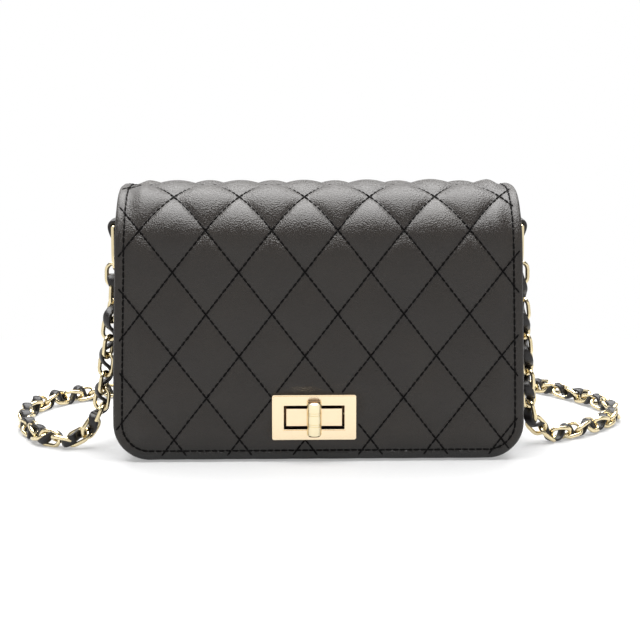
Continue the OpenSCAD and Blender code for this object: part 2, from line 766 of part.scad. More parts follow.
// Links from one number to another.
module chain(from, to) {
    for (k = [from : to]) {
        s = link_places[k];
        p = point_at(s);
        t = along_at(s);
        w = across_at(s);
        n = cross(t, w);
        a = cos(link_turn(k)) * w + sin(link_turn(k)) * n;
        b = cross(t, a);
        multmatrix([
            [a[0], b[0], t[0], p[0]], [a[1], b[1], t[1], p[1]],
            [a[2], b[2], t[2], p[2]], [0, 0, 0, 1]
        ]) link();
    }
}

module chain_drop_left() color("#eadcb8") chain(0, drop_links - 1);
module chain_loop_left() color("#eadcb8") chain(drop_links, drop_links + loop_links - 1);
module chain_rear() color("#eadcb8")
    chain(drop_links + loop_links, link_count - drop_links - loop_links - 1);
module chain_loop_right() color("#eadcb8")
    chain(link_count - drop_links - loop_links, link_count - drop_links - 1);
module chain_drop_right() color("#eadcb8") chain(link_count - drop_links, link_count - 1);

// Flat lace swept along the route, between two of its points.
lace_round = 0.45;
lace_section = let (a = lace_w / 2, b = lace_t / 2, c = lace_round) [
    [a, b - c], [a - c, b], [c - a, b], [-a, b - c],
    [-a, c - b], [c - a, -b], [a - c, -b], [a, c - b]
];

module lace(from, to, split) {
    sides = len(lace_section);
    rings = [for (u = [from : 1 / split : to + EPS]) let (
        s = reach[min(round(u * STEPS), step_count)],
        p = point_at(s), t = along_at(s), w = across_at(s), n = cross(t, w)
    ) [for (q = lace_section) p + q[0] * w + q[1] * n]];
    last = len(rings) - 1;
    polyhedron(
        points = [for (r = rings) for (p = r) p],
        faces = concat(
            [[for (k = [0 : sides - 1]) k]],
            [for (i = [0 : last - 1], k = [0 : sides - 1], half = [0, 1]) let (
                a = i * sides + k, b = i * sides + (k + 1) % sides
            ) half == 0 ? [a, a + sides, b + sides] : [a, b + sides, b]],
            [[for (k = [sides - 1 : -1 : 0]) last * sides + k]]
        )
    );
}

lace_end = 0.5;
drop_points_left = 5;
drop_points_right = LAST - 5;

module lace_drop_left() color("#232222") lace(lace_end, drop_points_left, 2);
module lace_floor() color("#232222") lace(drop_points_left, drop_points_right, 1);
module lace_drop_right() color("#232222")
    lace(drop_points_right, LAST - lace_end, 2);

// ---------------------------------------------------------------- nodes

flap_leather();
flap_foam();
flap_board();
flap_lining();
lock_frame();
lock_frame_plate();
lock_frame_rivets();
back_leather();
back_foam();
back_board();
front_leather();
front_board();
front_foam();
gusset_left();
gusset_right();
gusset_base();
base_board();
lining_front();
lining_back();
lining_gusset();
slip_pocket();
mouth_binding();
lock_block();
lock_block_plate();
lock_block_rivets();
lock_toggle();
toggle_spindle();
toggle_spring_washer();
tab_left();
tab_right();
d_ring_left();
d_ring_right();
chain_drop_left();
chain_loop_left();
chain_rear();
chain_loop_right();
chain_drop_right();
lace_drop_left();
lace_floor();
lace_drop_right();
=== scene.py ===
"""Quilted crossbody purse with a turn lock and a laced chain strap, dressed over its CAD frame.

All sizes are millimetres until a mesh is written. The bag stands on its base: X to the right,
front towards -Y, Z up.
"""
import functools
import math

import bpy
import numpy as np
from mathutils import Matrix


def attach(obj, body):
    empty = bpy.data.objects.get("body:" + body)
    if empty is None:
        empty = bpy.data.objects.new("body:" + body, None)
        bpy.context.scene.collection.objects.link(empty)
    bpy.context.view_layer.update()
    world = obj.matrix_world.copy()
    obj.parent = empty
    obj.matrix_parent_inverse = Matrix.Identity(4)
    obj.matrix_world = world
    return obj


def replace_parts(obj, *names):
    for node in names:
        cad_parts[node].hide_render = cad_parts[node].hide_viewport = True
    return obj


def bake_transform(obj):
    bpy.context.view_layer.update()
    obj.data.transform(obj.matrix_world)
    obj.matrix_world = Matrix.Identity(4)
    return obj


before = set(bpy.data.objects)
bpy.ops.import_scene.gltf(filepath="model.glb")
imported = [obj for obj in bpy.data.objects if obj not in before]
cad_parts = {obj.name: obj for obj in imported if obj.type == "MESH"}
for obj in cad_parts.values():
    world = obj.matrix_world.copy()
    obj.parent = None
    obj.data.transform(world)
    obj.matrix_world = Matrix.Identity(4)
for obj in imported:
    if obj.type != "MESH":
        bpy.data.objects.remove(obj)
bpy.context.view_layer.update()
MM = 0.001

# -------------------- sizes shared with the CAD

FRONT_Y, BACK_Y = -24.9, 33.1
BAG_H, FRONT_ROLL, BACK_ROLL = 133.0, 30.0, 14.0
FLAP_T, LINING_T, LEATHER_T = 5.1, 0.5, 1.2
FLAP_HALF, BODY_HALF, CORNER_R, FLAP_LIFT = 100.0, 98.0, 18.0, 1.0
PANEL_Y, MOUTH_H, FOLD_Z = -18.4, 103.96, 119.0
INNER_FRONT_Y, INNER_BACK_Y = -13.3, 28.0
GUSSET_FRONT_Y, GUSSET_BACK_Y, GUSSET_MID_Y = -17.2, 31.9, 7.35
INNER_Z = 3.3
LOCK_X, LOCK_Z, LOCK_W, LOCK_H, SLOT_W, SLOT_H = -2.5, 22.5, 41.0, 22.2, 29.6, 11.7
RING_X, RING_Z, RING_WIRE_R = 101.73, 113.0, 1.25

# -------------------- small tools


def smoothstep(x, low, high):
    """Cubic ease from 0 at low to 1 at high."""
    t = np.clip((x - low) / (high - low), 0, 1)
    return t * t * (3 - 2 * t)


def stack(*parts):
    """Parts side by side along a new last axis."""
    return np.stack(parts, -1)


def unit(v):
    return v / np.linalg.norm(v, axis=-1, keepdims=True)


def constant(value):
    """A function that gives one value at every height."""
    return lambda height: np.full_like(height, value)


def grid_quads(rows, cols, wrap=False, start=0):
    """Quads between neighbouring points of a grid kept row by row; wrap closes each row on itself."""
    last = cols if wrap else cols - 1
    r, c = np.meshgrid(np.arange(rows - 1), np.arange(last), indexing="ij")
    n = (c + 1) % cols
    a, b = r * cols + c, r * cols + n
    return stack(a, b, b + cols, a + cols).reshape(-1, 4) + start


def piece(name, points, faces, finish, slot, body="root", smooth=True):
    """A mesh object from points in millimetres and rows of corner numbers, its faces turned outwards.

    The faces are turned where the volume they sweep about their middle comes out negative.
    """
    points = np.asarray(points, float).reshape(-1, 3)
    faces = np.asarray(faces)
    corners = (points - points.mean(0))[faces]
    swept = np.einsum("ij,ij->", corners[:, 0], np.cross(corners[:, 1], corners[:, 2]))
    swept += np.einsum("ij,ij->", corners[:, 0], np.cross(corners[:, 2], corners[:, 3]))
    if swept < 0:
        faces = faces[:, ::-1]
    mesh = bpy.data.meshes.new(name)
    mesh.from_pydata((points * MM).tolist(), [], faces.tolist())
    mesh.validate()
    mesh.polygons.foreach_set("use_smooth", np.full(len(mesh.polygons), smooth))
    mesh.materials.append(finish)
    made = bpy.data.objects.new(name, mesh)
    bpy.context.scene.collection.objects.link(made)
    if body:
        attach(made, body)
    return made


def shell(outer, inner):
    """A closed sheet between two grids of points: both faces and the four edges that join them."""
    rows, cols = outer.shape[:2]
    count = rows * cols
    quads = grid_quads(rows, cols)
    number = np.arange(count).reshape(rows, cols)
    border = np.concatenate([number[0, :], number[1:, -1], number[-1, -2::-1], number[-2:0:-1, 0]])
    after = np.roll(border, -1)
    wall = stack(border, border + count, after + count, after)
    return (np.concatenate([outer.reshape(-1, 3), inner.reshape(-1, 3)]),
            np.concatenate([quads, quads[:, ::-1] + count, wall]))


def sweep(path, side, up, section):
    """A closed section of (side, up) offsets carried along a path, both ends closed to their middles."""
    rings = path[:, None] + side[:, None] * section[None, :, :1] + up[:, None] * section[None, :, 1:]
    ends = np.broadcast_to(path[[0, -1]][:, None], (2,) + rings.shape[1:])
    return join_grids([(np.concatenate([ends[:1], rings, ends[1:]]), True)])


def rounded_section(width, thick, count, square=0.6, crown=0.8):
    """A flattened round: cosine and sine raised to powers below 1, so that it fills its rectangle."""
    a = np.linspace(0, 2 * math.pi, count, endpoint=False)
    return stack(np.sign(np.cos(a)) * np.abs(np.cos(a)) ** square * width / 2,
                 np.sign(np.sin(a)) * np.abs(np.sin(a)) ** crown * thick / 2)


def join_grids(grids):
    """Several grids of points (rows, cols, 3) as one list of points and one of quads."""
    points, quads, start = [], [], 0
    for grid, wrap in grids:
        points.append(grid.reshape(-1, 3))
        quads.append(grid_quads(grid.shape[0], grid.shape[1], wrap, start))
        start += grid.shape[0] * grid.shape[1]
    return np.concatenate(points), np.concatenate(quads)


# -------------------- materials


def linear(hex_colour):
    """An sRGB hex colour as linear light."""
    values = [int(hex_colour[i:i + 2], 16) / 255 for i in (1, 3, 5)]
    return tuple(v / 12.92 if v <= 0.04045 else ((v + 0.055) / 1.055) ** 2.4 for v in values) + (1.0,)


def node(tree, kind, settings=None, **links):
    """Adds a node; settings go to its properties and sockets, links join other nodes to it.

    A link is named by its socket, with _ for a space, or by i and the socket's number. It comes
    from a socket, or from a node's first one.
    """
    made = tree.nodes.new("ShaderNode" + kind)
    for key, value in (settings or {}).items():
        if isinstance(key, int) or key in made.inputs:
            made.inputs[key].default_value = value
        else:
            setattr(made, key, value)
    for key, source in links.items():
        target = int(key[1:]) if key[0] == "i" and key[1:].isdigit() else key.replace("_", " ")
        tree.links.new(getattr(source, "outputs", [source])[0], made.inputs[target])
    return made


def material(name):
    """An empty material, and the function that adds nodes to it."""
    made = bpy.data.materials.new(name)
    made.use_nodes = True
    made.node_tree.nodes.clear()
    return made, functools.partial(node, made.node_tree)


CLOUD_MM, MARK_MM, PLY_MM = 28, 3, 0.4
# Heights in millimetres over which the leather's painted shade at the foot fades out.
FOOT_SHADE_LOW, FOOT_SHADE_HIGH = 3, 9


def leather_material(name, dark, light, roughness, grain_mm, grain_height):
    """Coated leather, embossed with a fine pebble, satin finished: broad soft highlights broken by grain.

    The lowest few millimetres, where the bag is set down, are darkened towards near black as painted
    shade.
    """
    made, add = material(name)
    place = add("TexCoord").outputs["Object"]
    pebble = add("TexVoronoi", {"feature": "SMOOTH_F1", "Scale": 1 / (grain_mm * MM), "Smoothness": 0.5},
                 Vector=place)
    pore = add("TexNoise", {"Scale": 1.2 / (grain_mm * MM), "Detail": 3.0}, Vector=place)
    cloud = add("TexNoise", {"Scale": 1 / (CLOUD_MM * MM), "Detail": 3.0}, Vector=place)
    tone = add("MapRange", {"From Min": 0.3, "From Max": 0.7}, Value=cloud)
    colour = add("Mix", {"data_type": "RGBA", 6: linear(dark), 7: linear(light)}, Factor=tone)
    rough = add("MapRange", {"To Min": roughness - 0.08, "To Max": roughness + 0.08}, Value=pore)
    height = add("Math", {"operation": "MULTIPLY_ADD", 1: 0.6}, i0=pore, i2=pebble)
    bump = add("Bump", {"Strength": 0.6, "Distance": grain_height * MM}, Height=height)
    # Painted shade: over the lowest few millimetres the base colour fades to near black.
    up = add("SeparateXYZ", Vector=place).outputs["Z"]
    foot = add("MapRange", {"From Min": FOOT_SHADE_LOW * MM, "From Max": FOOT_SHADE_HIGH * MM}, Value=up)
    shaded_foot = add("Mix", {"data_type": "RGBA", 6: linear("#060504")}, Factor=foot, i7=colour.outputs[2])
    shader = add("BsdfPrincipled", {"Specular IOR Level": 0.46}, Base_Color=shaded_foot.outputs[2],
                 Roughness=rough, Normal=bump)
    add("OutputMaterial", Surface=shader)
    return made


def metal_material(name, colour, roughness, shade_area=None):
    """Plated zinc alloy, polished: bright reflections with faint handling marks.

    An optional shade area is half a width and half a height about the lock, "inside" or "outside" for the
    side of that rectangle where the base colour is darkened as painted shade, and the shade colour.
    """
    made, add = material(name)
    place = add("TexCoord").outputs["Object"]
    marks = add("TexNoise", {"Scale": 1 / (MARK_MM * MM), "Detail": 5.0}, Vector=place)
    rough = add("MapRange", {"To Min": roughness - 0.04, "To Max": roughness + 0.05}, Value=marks)
    shaded_colour = {}
    # Painted shade: the base colour is darkened on one side of a rectangle about the lock.
    if shade_area:
        half_w, half_h, where, dark = shade_area
        test, join = {"inside": ("LESS_THAN", "MULTIPLY"), "outside": ("GREATER_THAN", "MAXIMUM")}[where]
        lock = (LOCK_X * MM, 0, LOCK_Z * MM)
        from_lock = add("VectorMath", {"operation": "SUBTRACT", 1: lock}, i0=place)
        away = add("SeparateXYZ", Vector=add("VectorMath", {"operation": "ABSOLUTE"}, i0=from_lock))
        by_x = add("Math", {"operation": test, 1: half_w * MM}, i0=away.outputs["X"])
        by_z = add("Math", {"operation": test, 1: half_h * MM}, i0=away.outputs["Z"])
        here = add("Math", {"operation": join}, i0=by_x, i1=by_z)
        mixed = add("Mix", {"data_type": "RGBA", 6: linear(colour), 7: linear(dark)}, Factor=here)
        shaded_colour["Base_Color"] = mixed.outputs[2]
    shader = add("BsdfPrincipled", {"Base Color": linear(colour), "Metallic": 1.0},
                 Roughness=rough, **shaded_colour)
    add("OutputMaterial", Surface=shader)
    return made


def cloth_material(name, colour, light, thread_mm):
    """Woven lining twill: fine crossed threads and a slight sheen."""
    made, add = material(name)
    place = add("TexCoord").outputs["Object"]
    scale = 0.3 / (thread_mm * MM)
    weave = add("TexWave", {"bands_direction": "DIAGONAL", "Scale": scale, "Distortion": 0.3},
                Vector=place)
    cross = add("TexWave", {"bands_direction": "Z", "Scale": scale}, Vector=place)
    height = add("Math", {"operation": "ADD"}, i0=weave.outputs["Fac"], i1=cross.outputs["Fac"])
    tone = add("MapRange", {"From Max": 2.0}, Value=height)
    shade = add("Mix", {"data_type": "RGBA", 6: linear(colour), 7: linear(light)}, Factor=tone)
    bump = add("Bump", {"Strength": 0.4, "Distance": 0.1 * MM}, Height=height)
    shader = add("BsdfPrincipled", {"Roughness": 0.75, "Sheen Weight": 0.3},
                 Base_Color=shade.outputs[2], Normal=bump)
    add("OutputMaterial", Surface=shader)
    return made


def thread_material(name, colour):
    """Bonded polyester thread, twisted: matt with fine diagonal plies."""
    made, add = material(name)
    place = add("TexCoord").outputs["Object"]
    ply = add("TexWave", {"bands_direction": "DIAGONAL", "Scale": 0.3 / (PLY_MM * MM)}, Vector=place)
    bump = add("Bump", {"Strength": 0.5, "Distance": 0.08 * MM}, Height=ply.outputs["Fac"])
    finish = {"Base Color": linear(colour), "Roughness": 0.9, "Specular IOR Level": 0.15}
    add("OutputMaterial", Surface=add("BsdfPrincipled", finish, Normal=bump))
    return made


# Painted shade: the slot's walls in the frame, the block's sides and the bar's two ends get a dark brown
# base colour in place of shade.
SLOT_WALL_SHADE = (SLOT_W / 2 + 0.06, SLOT_H / 2 + 0.06, "inside", "#2a1c12")
BLOCK_SIDE_SHADE = (13.55, 4.25, "outside", "#4a3522")
BAR_END_SHADE = (99.0, 8.2, "outside", "#7d5c33")

LEATHER = leather_material("coated_leather_pebbled", "#17110c", "#1d1711", 0.35, 0.66, 0.34)
SMOOTH_LEATHER = leather_material("coated_leather_smooth", "#141111", "#1b1818", 0.36, 0.6, 0.08)
THREAD = thread_material("bonded_polyester_thread", "#050404")
LINING = cloth_material("twill_lining_woven", "#232121", "#3b3836", 0.5)
GOLD = metal_material("zinc_alloy_plated_pale_gold", "#e3d3ab", 0.13)
FRAME_GOLD = metal_material("zinc_alloy_plated_cream_gold", "#f4dfbd", 0.22, SLOT_WALL_SHADE)
BLOCK_GOLD = metal_material("zinc_alloy_plated_cream_gold_block", "#f4ddbb", 0.22, BLOCK_SIDE_SHADE)
LOCK_GOLD = metal_material("zinc_alloy_plated_cream_gold_bar", "#efe1bd", 0.24, BAR_END_SHADE)
DULL = metal_material("steel_plated_dull", "#b9a67c", 0.35)

# -------------------- side profile of the leather

FACE_END = BAG_H - FRONT_ROLL
ROLL_END = FACE_END + FRONT_ROLL * math.pi / 2
TOP_END = ROLL_END + BACK_Y - BACK_ROLL - (FRONT_Y + FRONT_ROLL)
HINGE = TOP_END + BACK_ROLL * math.pi / 2
BACK_END = HINGE + FOLD_Z


def profile(s, depth):
    """Point (y, z) at arc length s from the foot of the face, over the top and down the back.

    Straight up the face, a quarter circle forward, a short flat top, a smaller quarter circle behind,
    and straight down the back; it is sunk by depth along the inward normal.
    """
    turn_a = np.clip((s - FACE_END) / FRONT_ROLL, 0, math.pi / 2)
    turn_b = np.clip((s - TOP_END) / BACK_ROLL, 0, math.pi / 2)
    angle = turn_a + turn_b
    ny, nz = -np.cos(angle), np.sin(angle)
    y = (FRONT_Y + FRONT_ROLL * (1 - np.cos(turn_a)) + np.clip(s - ROLL_END, 0, TOP_END - ROLL_END)
         + BACK_ROLL * np.sin(turn_b))
    z = (np.minimum(s, FACE_END) + FRONT_ROLL * np.sin(turn_a) - BACK_ROLL * (1 - np.cos(turn_b))
         - np.maximum(s - HINGE, 0))
    return y - ny * depth, z - nz * depth


def on_profile(x, s, rise):
    y, z = profile(s, -rise)
    return stack(x, y, z)


# -------------------- quilting

DIAMOND_W, DIAMOND_H = 32.1, 41.4
CROSS_X, CROSS_S = -6.9, 11.0
PUFF, ROLL_PUFF, TROUGH = 1.8, 3.4, -0.5
ROLL_FROM, ROLL_FULL = 85, 130
SEAM_SOFT, FULLNESS, UNEVEN = 0.04, 0.62, 0.10
HEM, HEM_ROLL = 4.5, 0.9
EDGE_R = 1.6


def inside_by(x, height, half, low, radius):
    """Distance inside an outline with straight sides, a straight foot and round lower corners."""
    cx, cz = np.abs(x) - (half - radius), (low + radius) - height
    return radius - np.hypot(np.maximum(cx, 0), np.maximum(cz, 0)) - np.minimum(np.maximum(cx, cz), 0)


def quilt_axes(x, s):
    a, b = (x - CROSS_X) / DIAMOND_W, (s - CROSS_S) / DIAMOND_H
    return a + b, a - b


def pillow(x, s):
    """Padding between crossed seams, 0 on a seam to 1 in the middle of a diamond.

    The product of two sines of the seam distances, raised to a power below 1 for full cushions.
    """
    u, v = quilt_axes(x, s)
    full = np.abs(np.sin(math.pi * u)) * np.abs(np.sin(math.pi * v))
    soft = np.sqrt(full * full + SEAM_SOFT ** 2) - SEAM_SOFT
    uneven = 1 + UNEVEN * np.sin(2.1 * np.floor(u) + 3.7 * np.floor(v))
    return soft ** FULLNESS * uneven


def off_lock(x, height):
    """How far a place lies outside the lock frame, negative over it."""
    return np.maximum(np.abs(x - LOCK_X) - LOCK_W / 2, np.abs(height - LOCK_Z) - LOCK_H / 2)


def flap_rise(x, s, inside, lock=True):
    """How far the leather stands out of the solid's face: cushions, a rolled hem, flat at the lock."""
    full = PUFF + (ROLL_PUFF - PUFF) * smoothstep(s, ROLL_FROM, ROLL_FULL)
    cushion = TROUGH + full * pillow(x, s) * smoothstep(inside, HEM - 0.4, HEM + 9)
    hem = TROUGH + HEM_ROLL * np.sin(math.pi * np.clip(inside / HEM, 0, 1)) ** 0.7 * (
        0.55 + 0.45 * np.minimum(pillow(x, s) * 1.6, 1))
    rise = np.where(inside > HEM, cushion, hem)
    if lock:
        rise = rise * smoothstep(off_lock(x, s), 0.4, 6) - 0.02
    return rise


def columns(half, radius, step):
    """Places across a panel, closer together over its round corners, -half to half."""
    corner = np.linspace(0, math.pi / 2, int(radius * math.pi / 2 / step) + 1)
    right = half - radius + radius * np.sin(corner)
    middle = np.linspace(-(half - radius), half - radius, int(2 * (half - radius) / step) + 1)
    return np.concatenate([-right[::-1][:-1], middle, right[1:]])


def foot_at(x, half, low, radius):
    """Height of a round-cornered foot at each place across: straight, a quarter circle at each end."""
    over = np.clip(np.abs(x) - (half - radius), 0, radius)
    return low + radius - np.sqrt(radius * radius - over * over)


def panel(half_of, low, radius, top, surface, rise_of, thick_of, edge_r=EDGE_R, step=0.65, tuck=3.0):
    """A round-cornered panel of leather with its edges turned under, as points and quads.

    half_of gives half its width at a height, surface the point in space for (across, height, rise),
    rise_of how far the face stands out, and thick_of how far under it the turned edge lies.
    The face is a grid; the edge carries its border round a quarter circle, down and back.
    """
    half0 = float(half_of(np.array([low + radius]))[0]) - edge_r
    x = columns(half0, radius - edge_r, step)
    foot = foot_at(x, half0, low + edge_r, radius - edge_r)
    height = foot + (top - foot) * np.linspace(0, 1, int((top - low) / step))[:, None]
    across = x * (half_of(height) - edge_r) / half0
    rise = rise_of(across, height, inside_by(across, height, half_of(height), low, radius))
    rows, cols = across.shape
    border = np.concatenate([
        np.arange(rows - 1, 0, -1) * cols, np.arange(cols), np.arange(1, rows) * cols + cols - 1])
    edge = stack(across.ravel()[border], height.ravel()[border])
    run = unit(np.gradient(edge, axis=0))
    outward = stack(run[:, 1], -run[:, 0])
    outward *= -np.sign(outward[len(border) // 2, 1])
    lift, under = rise.ravel()[border], -thick_of(edge[:, 1])
    turn = np.arange(1, 6) / 5 * math.pi / 2
    rings = ([(edge_r * math.sin(a), lift - edge_r * (1 - math.cos(a))) for a in turn]
             + [(edge_r * math.cos(a), under + edge_r * (1 - math.sin(a))) for a in turn]
             + [(-tuck, under)])
    points, quads = [surface(across, height, rise).reshape(-1, 3)], [grid_quads(rows, cols)]
    previous, start = border, rows * cols
    for out, level in rings:
        place = edge + outward * out
        points.append(surface(place[:, 0], place[:, 1], level))
        here = start + np.arange(len(border))
        quads.append(stack(previous[:-1], here[:-1], here[1:], previous[1:]))
        previous, start = here, start + len(border)
    return np.concatenate(points), np.concatenate(quads)


def cut_slot(points, quads, grow, front, back):
    """Leaves out the quads inside the lock's slot, grown on every side, between two depths."""
    middle = points[quads].mean(1)
    inside = ((np.abs(middle[:, 0] - LOCK_X) < SLOT_W / 2 + grow)
              & (np.abs(middle[:, 2] - LOCK_Z) < SLOT_H / 2 + grow)
              & (middle[:, 1] > front) & (middle[:, 1] < back))
    return quads[~inside]


# -------------------- stitches

THREAD_R, STITCH_GAP = 0.46, 0.02
SEAM_STITCHES = 8
SEAM_END = 2.4


def stitches(surface, across, height, d_across, d_height, rise_of, length, lift=0.1):
    """Stitches as short threads: six-sided tubes, arched, whose ends dive into the leather.

    Each lies on the surface between the two needle holes half its length either way along its seam.
    """
    h = length / 2
    ends = [surface(across + t * d_across * h, height + t * d_height * h,
                    rise_of(across + t * d_across * h, height + t * d_height * h)) for t in (-1, 1)]
    here = rise_of(across, height)
    normal = unit(surface(across, height, here + 1) - surface(across, height, here))
    run = ends[1] - ends[0]
    long = np.linalg.norm(run, axis=1, keepdims=True)
    run = run / long
    side = np.cross(run, normal)
    middle = (ends[0] + ends[1]) / 2
    t = np.array([-0.5, -0.42, -0.2, 0.2, 0.42, 0.5]) * (1 - STITCH_GAP)
    thick = THREAD_R * np.array([0.6, 0.85, 1.0, 1.0, 0.85, 0.6])
    arch = lift + THREAD_R * np.array([-0.7, -0.3, 0.1, 0.1, -0.3, -0.7])
    a = np.arange(6) / 6 * 2 * math.pi
    t, thick, arch = (v[None, :, None, None] for v in (t, thick, arch))
    rings = (middle[:, None, None] + run[:, None, None] * t * long[:, None, None]
             + normal[:, None, None] * (arch + thick * np.sin(a)[None, None, :, None])
             + side[:, None, None] * thick * np.cos(a)[None, None, :, None])
    caps = [[3, 2, 1, 0], [5, 4, 3, 0], [30, 31, 32, 33], [30, 33, 34, 35]]
    one = np.concatenate([grid_quads(6, 6, True), caps])
    quads = (one[None] + (np.arange(len(middle)) * 36)[:, None, None]).reshape(-1, 4)
    return rings.reshape(-1, 3), quads


def merge(parts):
    """Several (points, quads) as one."""
    starts = np.cumsum([0] + [len(p) for p, _ in parts[:-1]])
    return (np.concatenate([p for p, _ in parts]),
            np.concatenate([q + n for (_, q), n in zip(parts, starts)]))


def seam_places(low, high, half):
    """Middles and directions of the stitches of both families of crossed seams, across and along."""
    first, end = -24, 30
    each = (np.arange(first * SEAM_STITCHES, end * SEAM_STITCHES) + 0.5) / SEAM_STITCHES
    whole, part = np.meshgrid(np.arange(first, end), each, indexing="ij")
    side = math.hypot(DIAMOND_W / 2, DIAMOND_H / 2)
    rows = []
    for sign in (1, -1):
        u, v = (whole, part) if sign > 0 else (part, whole)
        x = CROSS_X + DIAMOND_W * (u + v) / 2
        along = CROSS_S + DIAMOND_H * (u - v) / 2
        keep = (along > low) & (along < high) & (np.abs(x) < half)
        rows.append(stack(x[keep], along[keep], np.full(keep.sum(), DIAMOND_W / 2 / side),
                          np.full(keep.sum(), -sign * DIAMOND_H / 2 / side)))
    return np.concatenate(rows), side / SEAM_STITCHES


def no_rise(x, height):
    return 0 * x


def border_places(half_of, low, radius, top, inset, pitch=3.4):
    """Middles and directions of a row of stitches at one inset from a panel's sides, foot and corners."""
    half = float(half_of(np.array([low + radius]))[0])
    r = radius - inset
    side = np.linspace(top, low + radius, 200)
    turn = np.linspace(0, math.pi / 2, 60)
    left = np.concatenate([
        stack(-(half_of(side) - inset), side),
        stack(-(half - radius) - r * np.cos(turn), low + radius - r * np.sin(turn))])
    line = np.concatenate([left, left[::-1] * [-1, 1]])
    run = np.concatenate([[0], np.cumsum(np.linalg.norm(np.diff(line, axis=0), axis=1))])
    count = int(run[-1] / pitch)
    at = (np.arange(count) + 0.5) * run[-1] / count
    place = np.stack([np.interp(at, run, line[:, k]) for k in (0, 1)], -1)
    ahead = np.stack([np.interp(at + 0.5, run, line[:, k]) for k in (0, 1)], -1)
    behind = np.stack([np.interp(at - 0.5, run, line[:, k]) for k in (0, 1)], -1)
    return np.concatenate([place, unit(ahead - behind)], 1), run[-1] / count


# -------------------- flap

CUT_S = 174.0
FLAP_TOP_HALF = FLAP_HALF - 1.2


def flap_half(height):
    """The flap spreads a little towards its foot, as its leather is pulled in at the roll."""
    return FLAP_HALF + 0.8 - (FLAP_HALF + 0.8 - FLAP_TOP_HALF) * smoothstep(height, 10, 130)


def flap_face_rise(x, height):
    return flap_rise(x, height, inside_by(x, height, flap_half(height), FLAP_LIFT, CORNER_R))


points, quads = panel(flap_half, FLAP_LIFT, CORNER_R, CUT_S, on_profile, flap_rise,
                      constant(FLAP_T - LINING_T))
quads = cut_slot(points, quads, 1.5, FRONT_Y - 3, FRONT_Y + 2)
flap_skin = piece("flap_quilted_leather", points, quads, LEATHER, "bag_leather", "flap")
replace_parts(flap_skin, "flap_leather", "flap_foam", "flap_board")

places, pitch = seam_places(FLAP_LIFT + 0.6, CUT_S - 1, FLAP_HALF)
inside = inside_by(places[:, 0], places[:, 1], flap_half(places[:, 1]), FLAP_LIFT, CORNER_R)
places = places[(inside > SEAM_END) & (off_lock(places[:, 0], places[:, 1]) > 0.3)]
quilting = stitches(on_profile, *places.T, flap_face_rise, pitch)
places, pitch = border_places(flap_half, FLAP_LIFT, CORNER_R, CUT_S - 1, HEM)
bordering = stitches(on_profile, *places.T, flap_face_rise, pitch)
piece("flap_stitches", *merge([quilting, bordering]), THREAD, "bag_leather", "flap")

# -------------------- back, and the fold over the hinge

BACK_TOP = BACK_END - CUT_S


def back_half(height):
    """The back is as wide as the bag, and widens to the flap just under the fold."""
    return BODY_HALF + (FLAP_TOP_HALF - BODY_HALF) * smoothstep(height, 96, FOLD_Z)


def back_surface(x, height, rise):
    """Heights on the back count up from the ground, past the fold and on along the roll."""
    return on_profile(x, BACK_END - height, rise)


def back_rise(x, height, inside=None):
    if inside is None:
        inside = inside_by(x, height, back_half(height), 0.0, CORNER_R)
    return flap_rise(x, BACK_END - height, inside, lock=False)


def over_fold(made):
    """Bakes the transform of a piece that crosses the fold line between the back and the flap into its
    mesh; the piece is not bent.
    """
    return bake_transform(made)


def back_thick(height):
    """The turned edge lies under one layer of leather, and under the flap's layers past the fold."""
    return LEATHER_T + (FLAP_T - LINING_T - LEATHER_T) * smoothstep(height, FOLD_Z - 3, FOLD_Z + 3)


points, quads = panel(back_half, 0.0, CORNER_R, BACK_TOP, back_surface, back_rise, back_thick, tuck=2.0)
back_skin = piece("back_quilted_leather", points, quads, LEATHER, "bag_leather", None)
over_fold(back_skin)
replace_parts(back_skin, "back_leather", "back_foam", "back_board")
places, pitch = seam_places(CUT_S, BACK_END - 0.6, FLAP_HALF)
places[:, 1] = BACK_END - places[:, 1]
places[:, 3] *= -1
inside = inside_by(places[:, 0], places[:, 1], back_half(places[:, 1]), 0.0, CORNER_R)
quilting = stitches(back_surface, *places[inside > SEAM_END].T, back_rise, pitch)
places, pitch = border_places(back_half, 0.0, CORNER_R, BACK_TOP - 1, HEM)
bordering = stitches(back_surface, *places.T, back_rise, pitch)
over_fold(piece("back_stitches", *merge([quilting, bordering]), THREAD, "bag_leather", None))

# -------------------- front panel under the flap

FLANGE_HALF_W, FLANGE_HALF_H = 17, 7.7
body_half = constant(BODY_HALF)


def front_surface(x, height, rise):
    return stack(x, PANEL_Y - rise, height + 0 * x)


def front_rise(x, height, inside=None):
    """Nearly flat, a little full between its border seam and the lock's flange."""
    if inside is None:
        inside = inside_by(x, height, BODY_HALF, 0.0, CORNER_R)
    away = np.maximum(np.abs(x - LOCK_X) - FLANGE_HALF_W, np.abs(height - LOCK_Z) - FLANGE_HALF_H)
    return -0.35 + 0.55 * smoothstep(np.abs(inside - HEM), 0, 3.5) * smoothstep(away, 0, 8)


points, quads = panel(body_half, 0.0, CORNER_R, MOUTH_H, front_surface, front_rise,
                      constant(LEATHER_T), edge_r=0.9, step=1.2, tuck=1.5)
front_skin = piece("front_panel_leather", points, quads, LEATHER, "bag_leather")
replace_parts(front_skin, "front_leather", "front_board", "front_foam")
places, pitch = border_places(body_half, 0.0, CORNER_R, MOUTH_H - 8, HEM)
piece("front_stitches", *stitches(front_surface, *places.T, front_rise, pitch), THREAD, "bag_leather")

# -------------------- gusset

STRIP_TOP, STRIP_EASE = 105.0, 60.0
SAG, TAB_SWELL = 3.0, 2.6


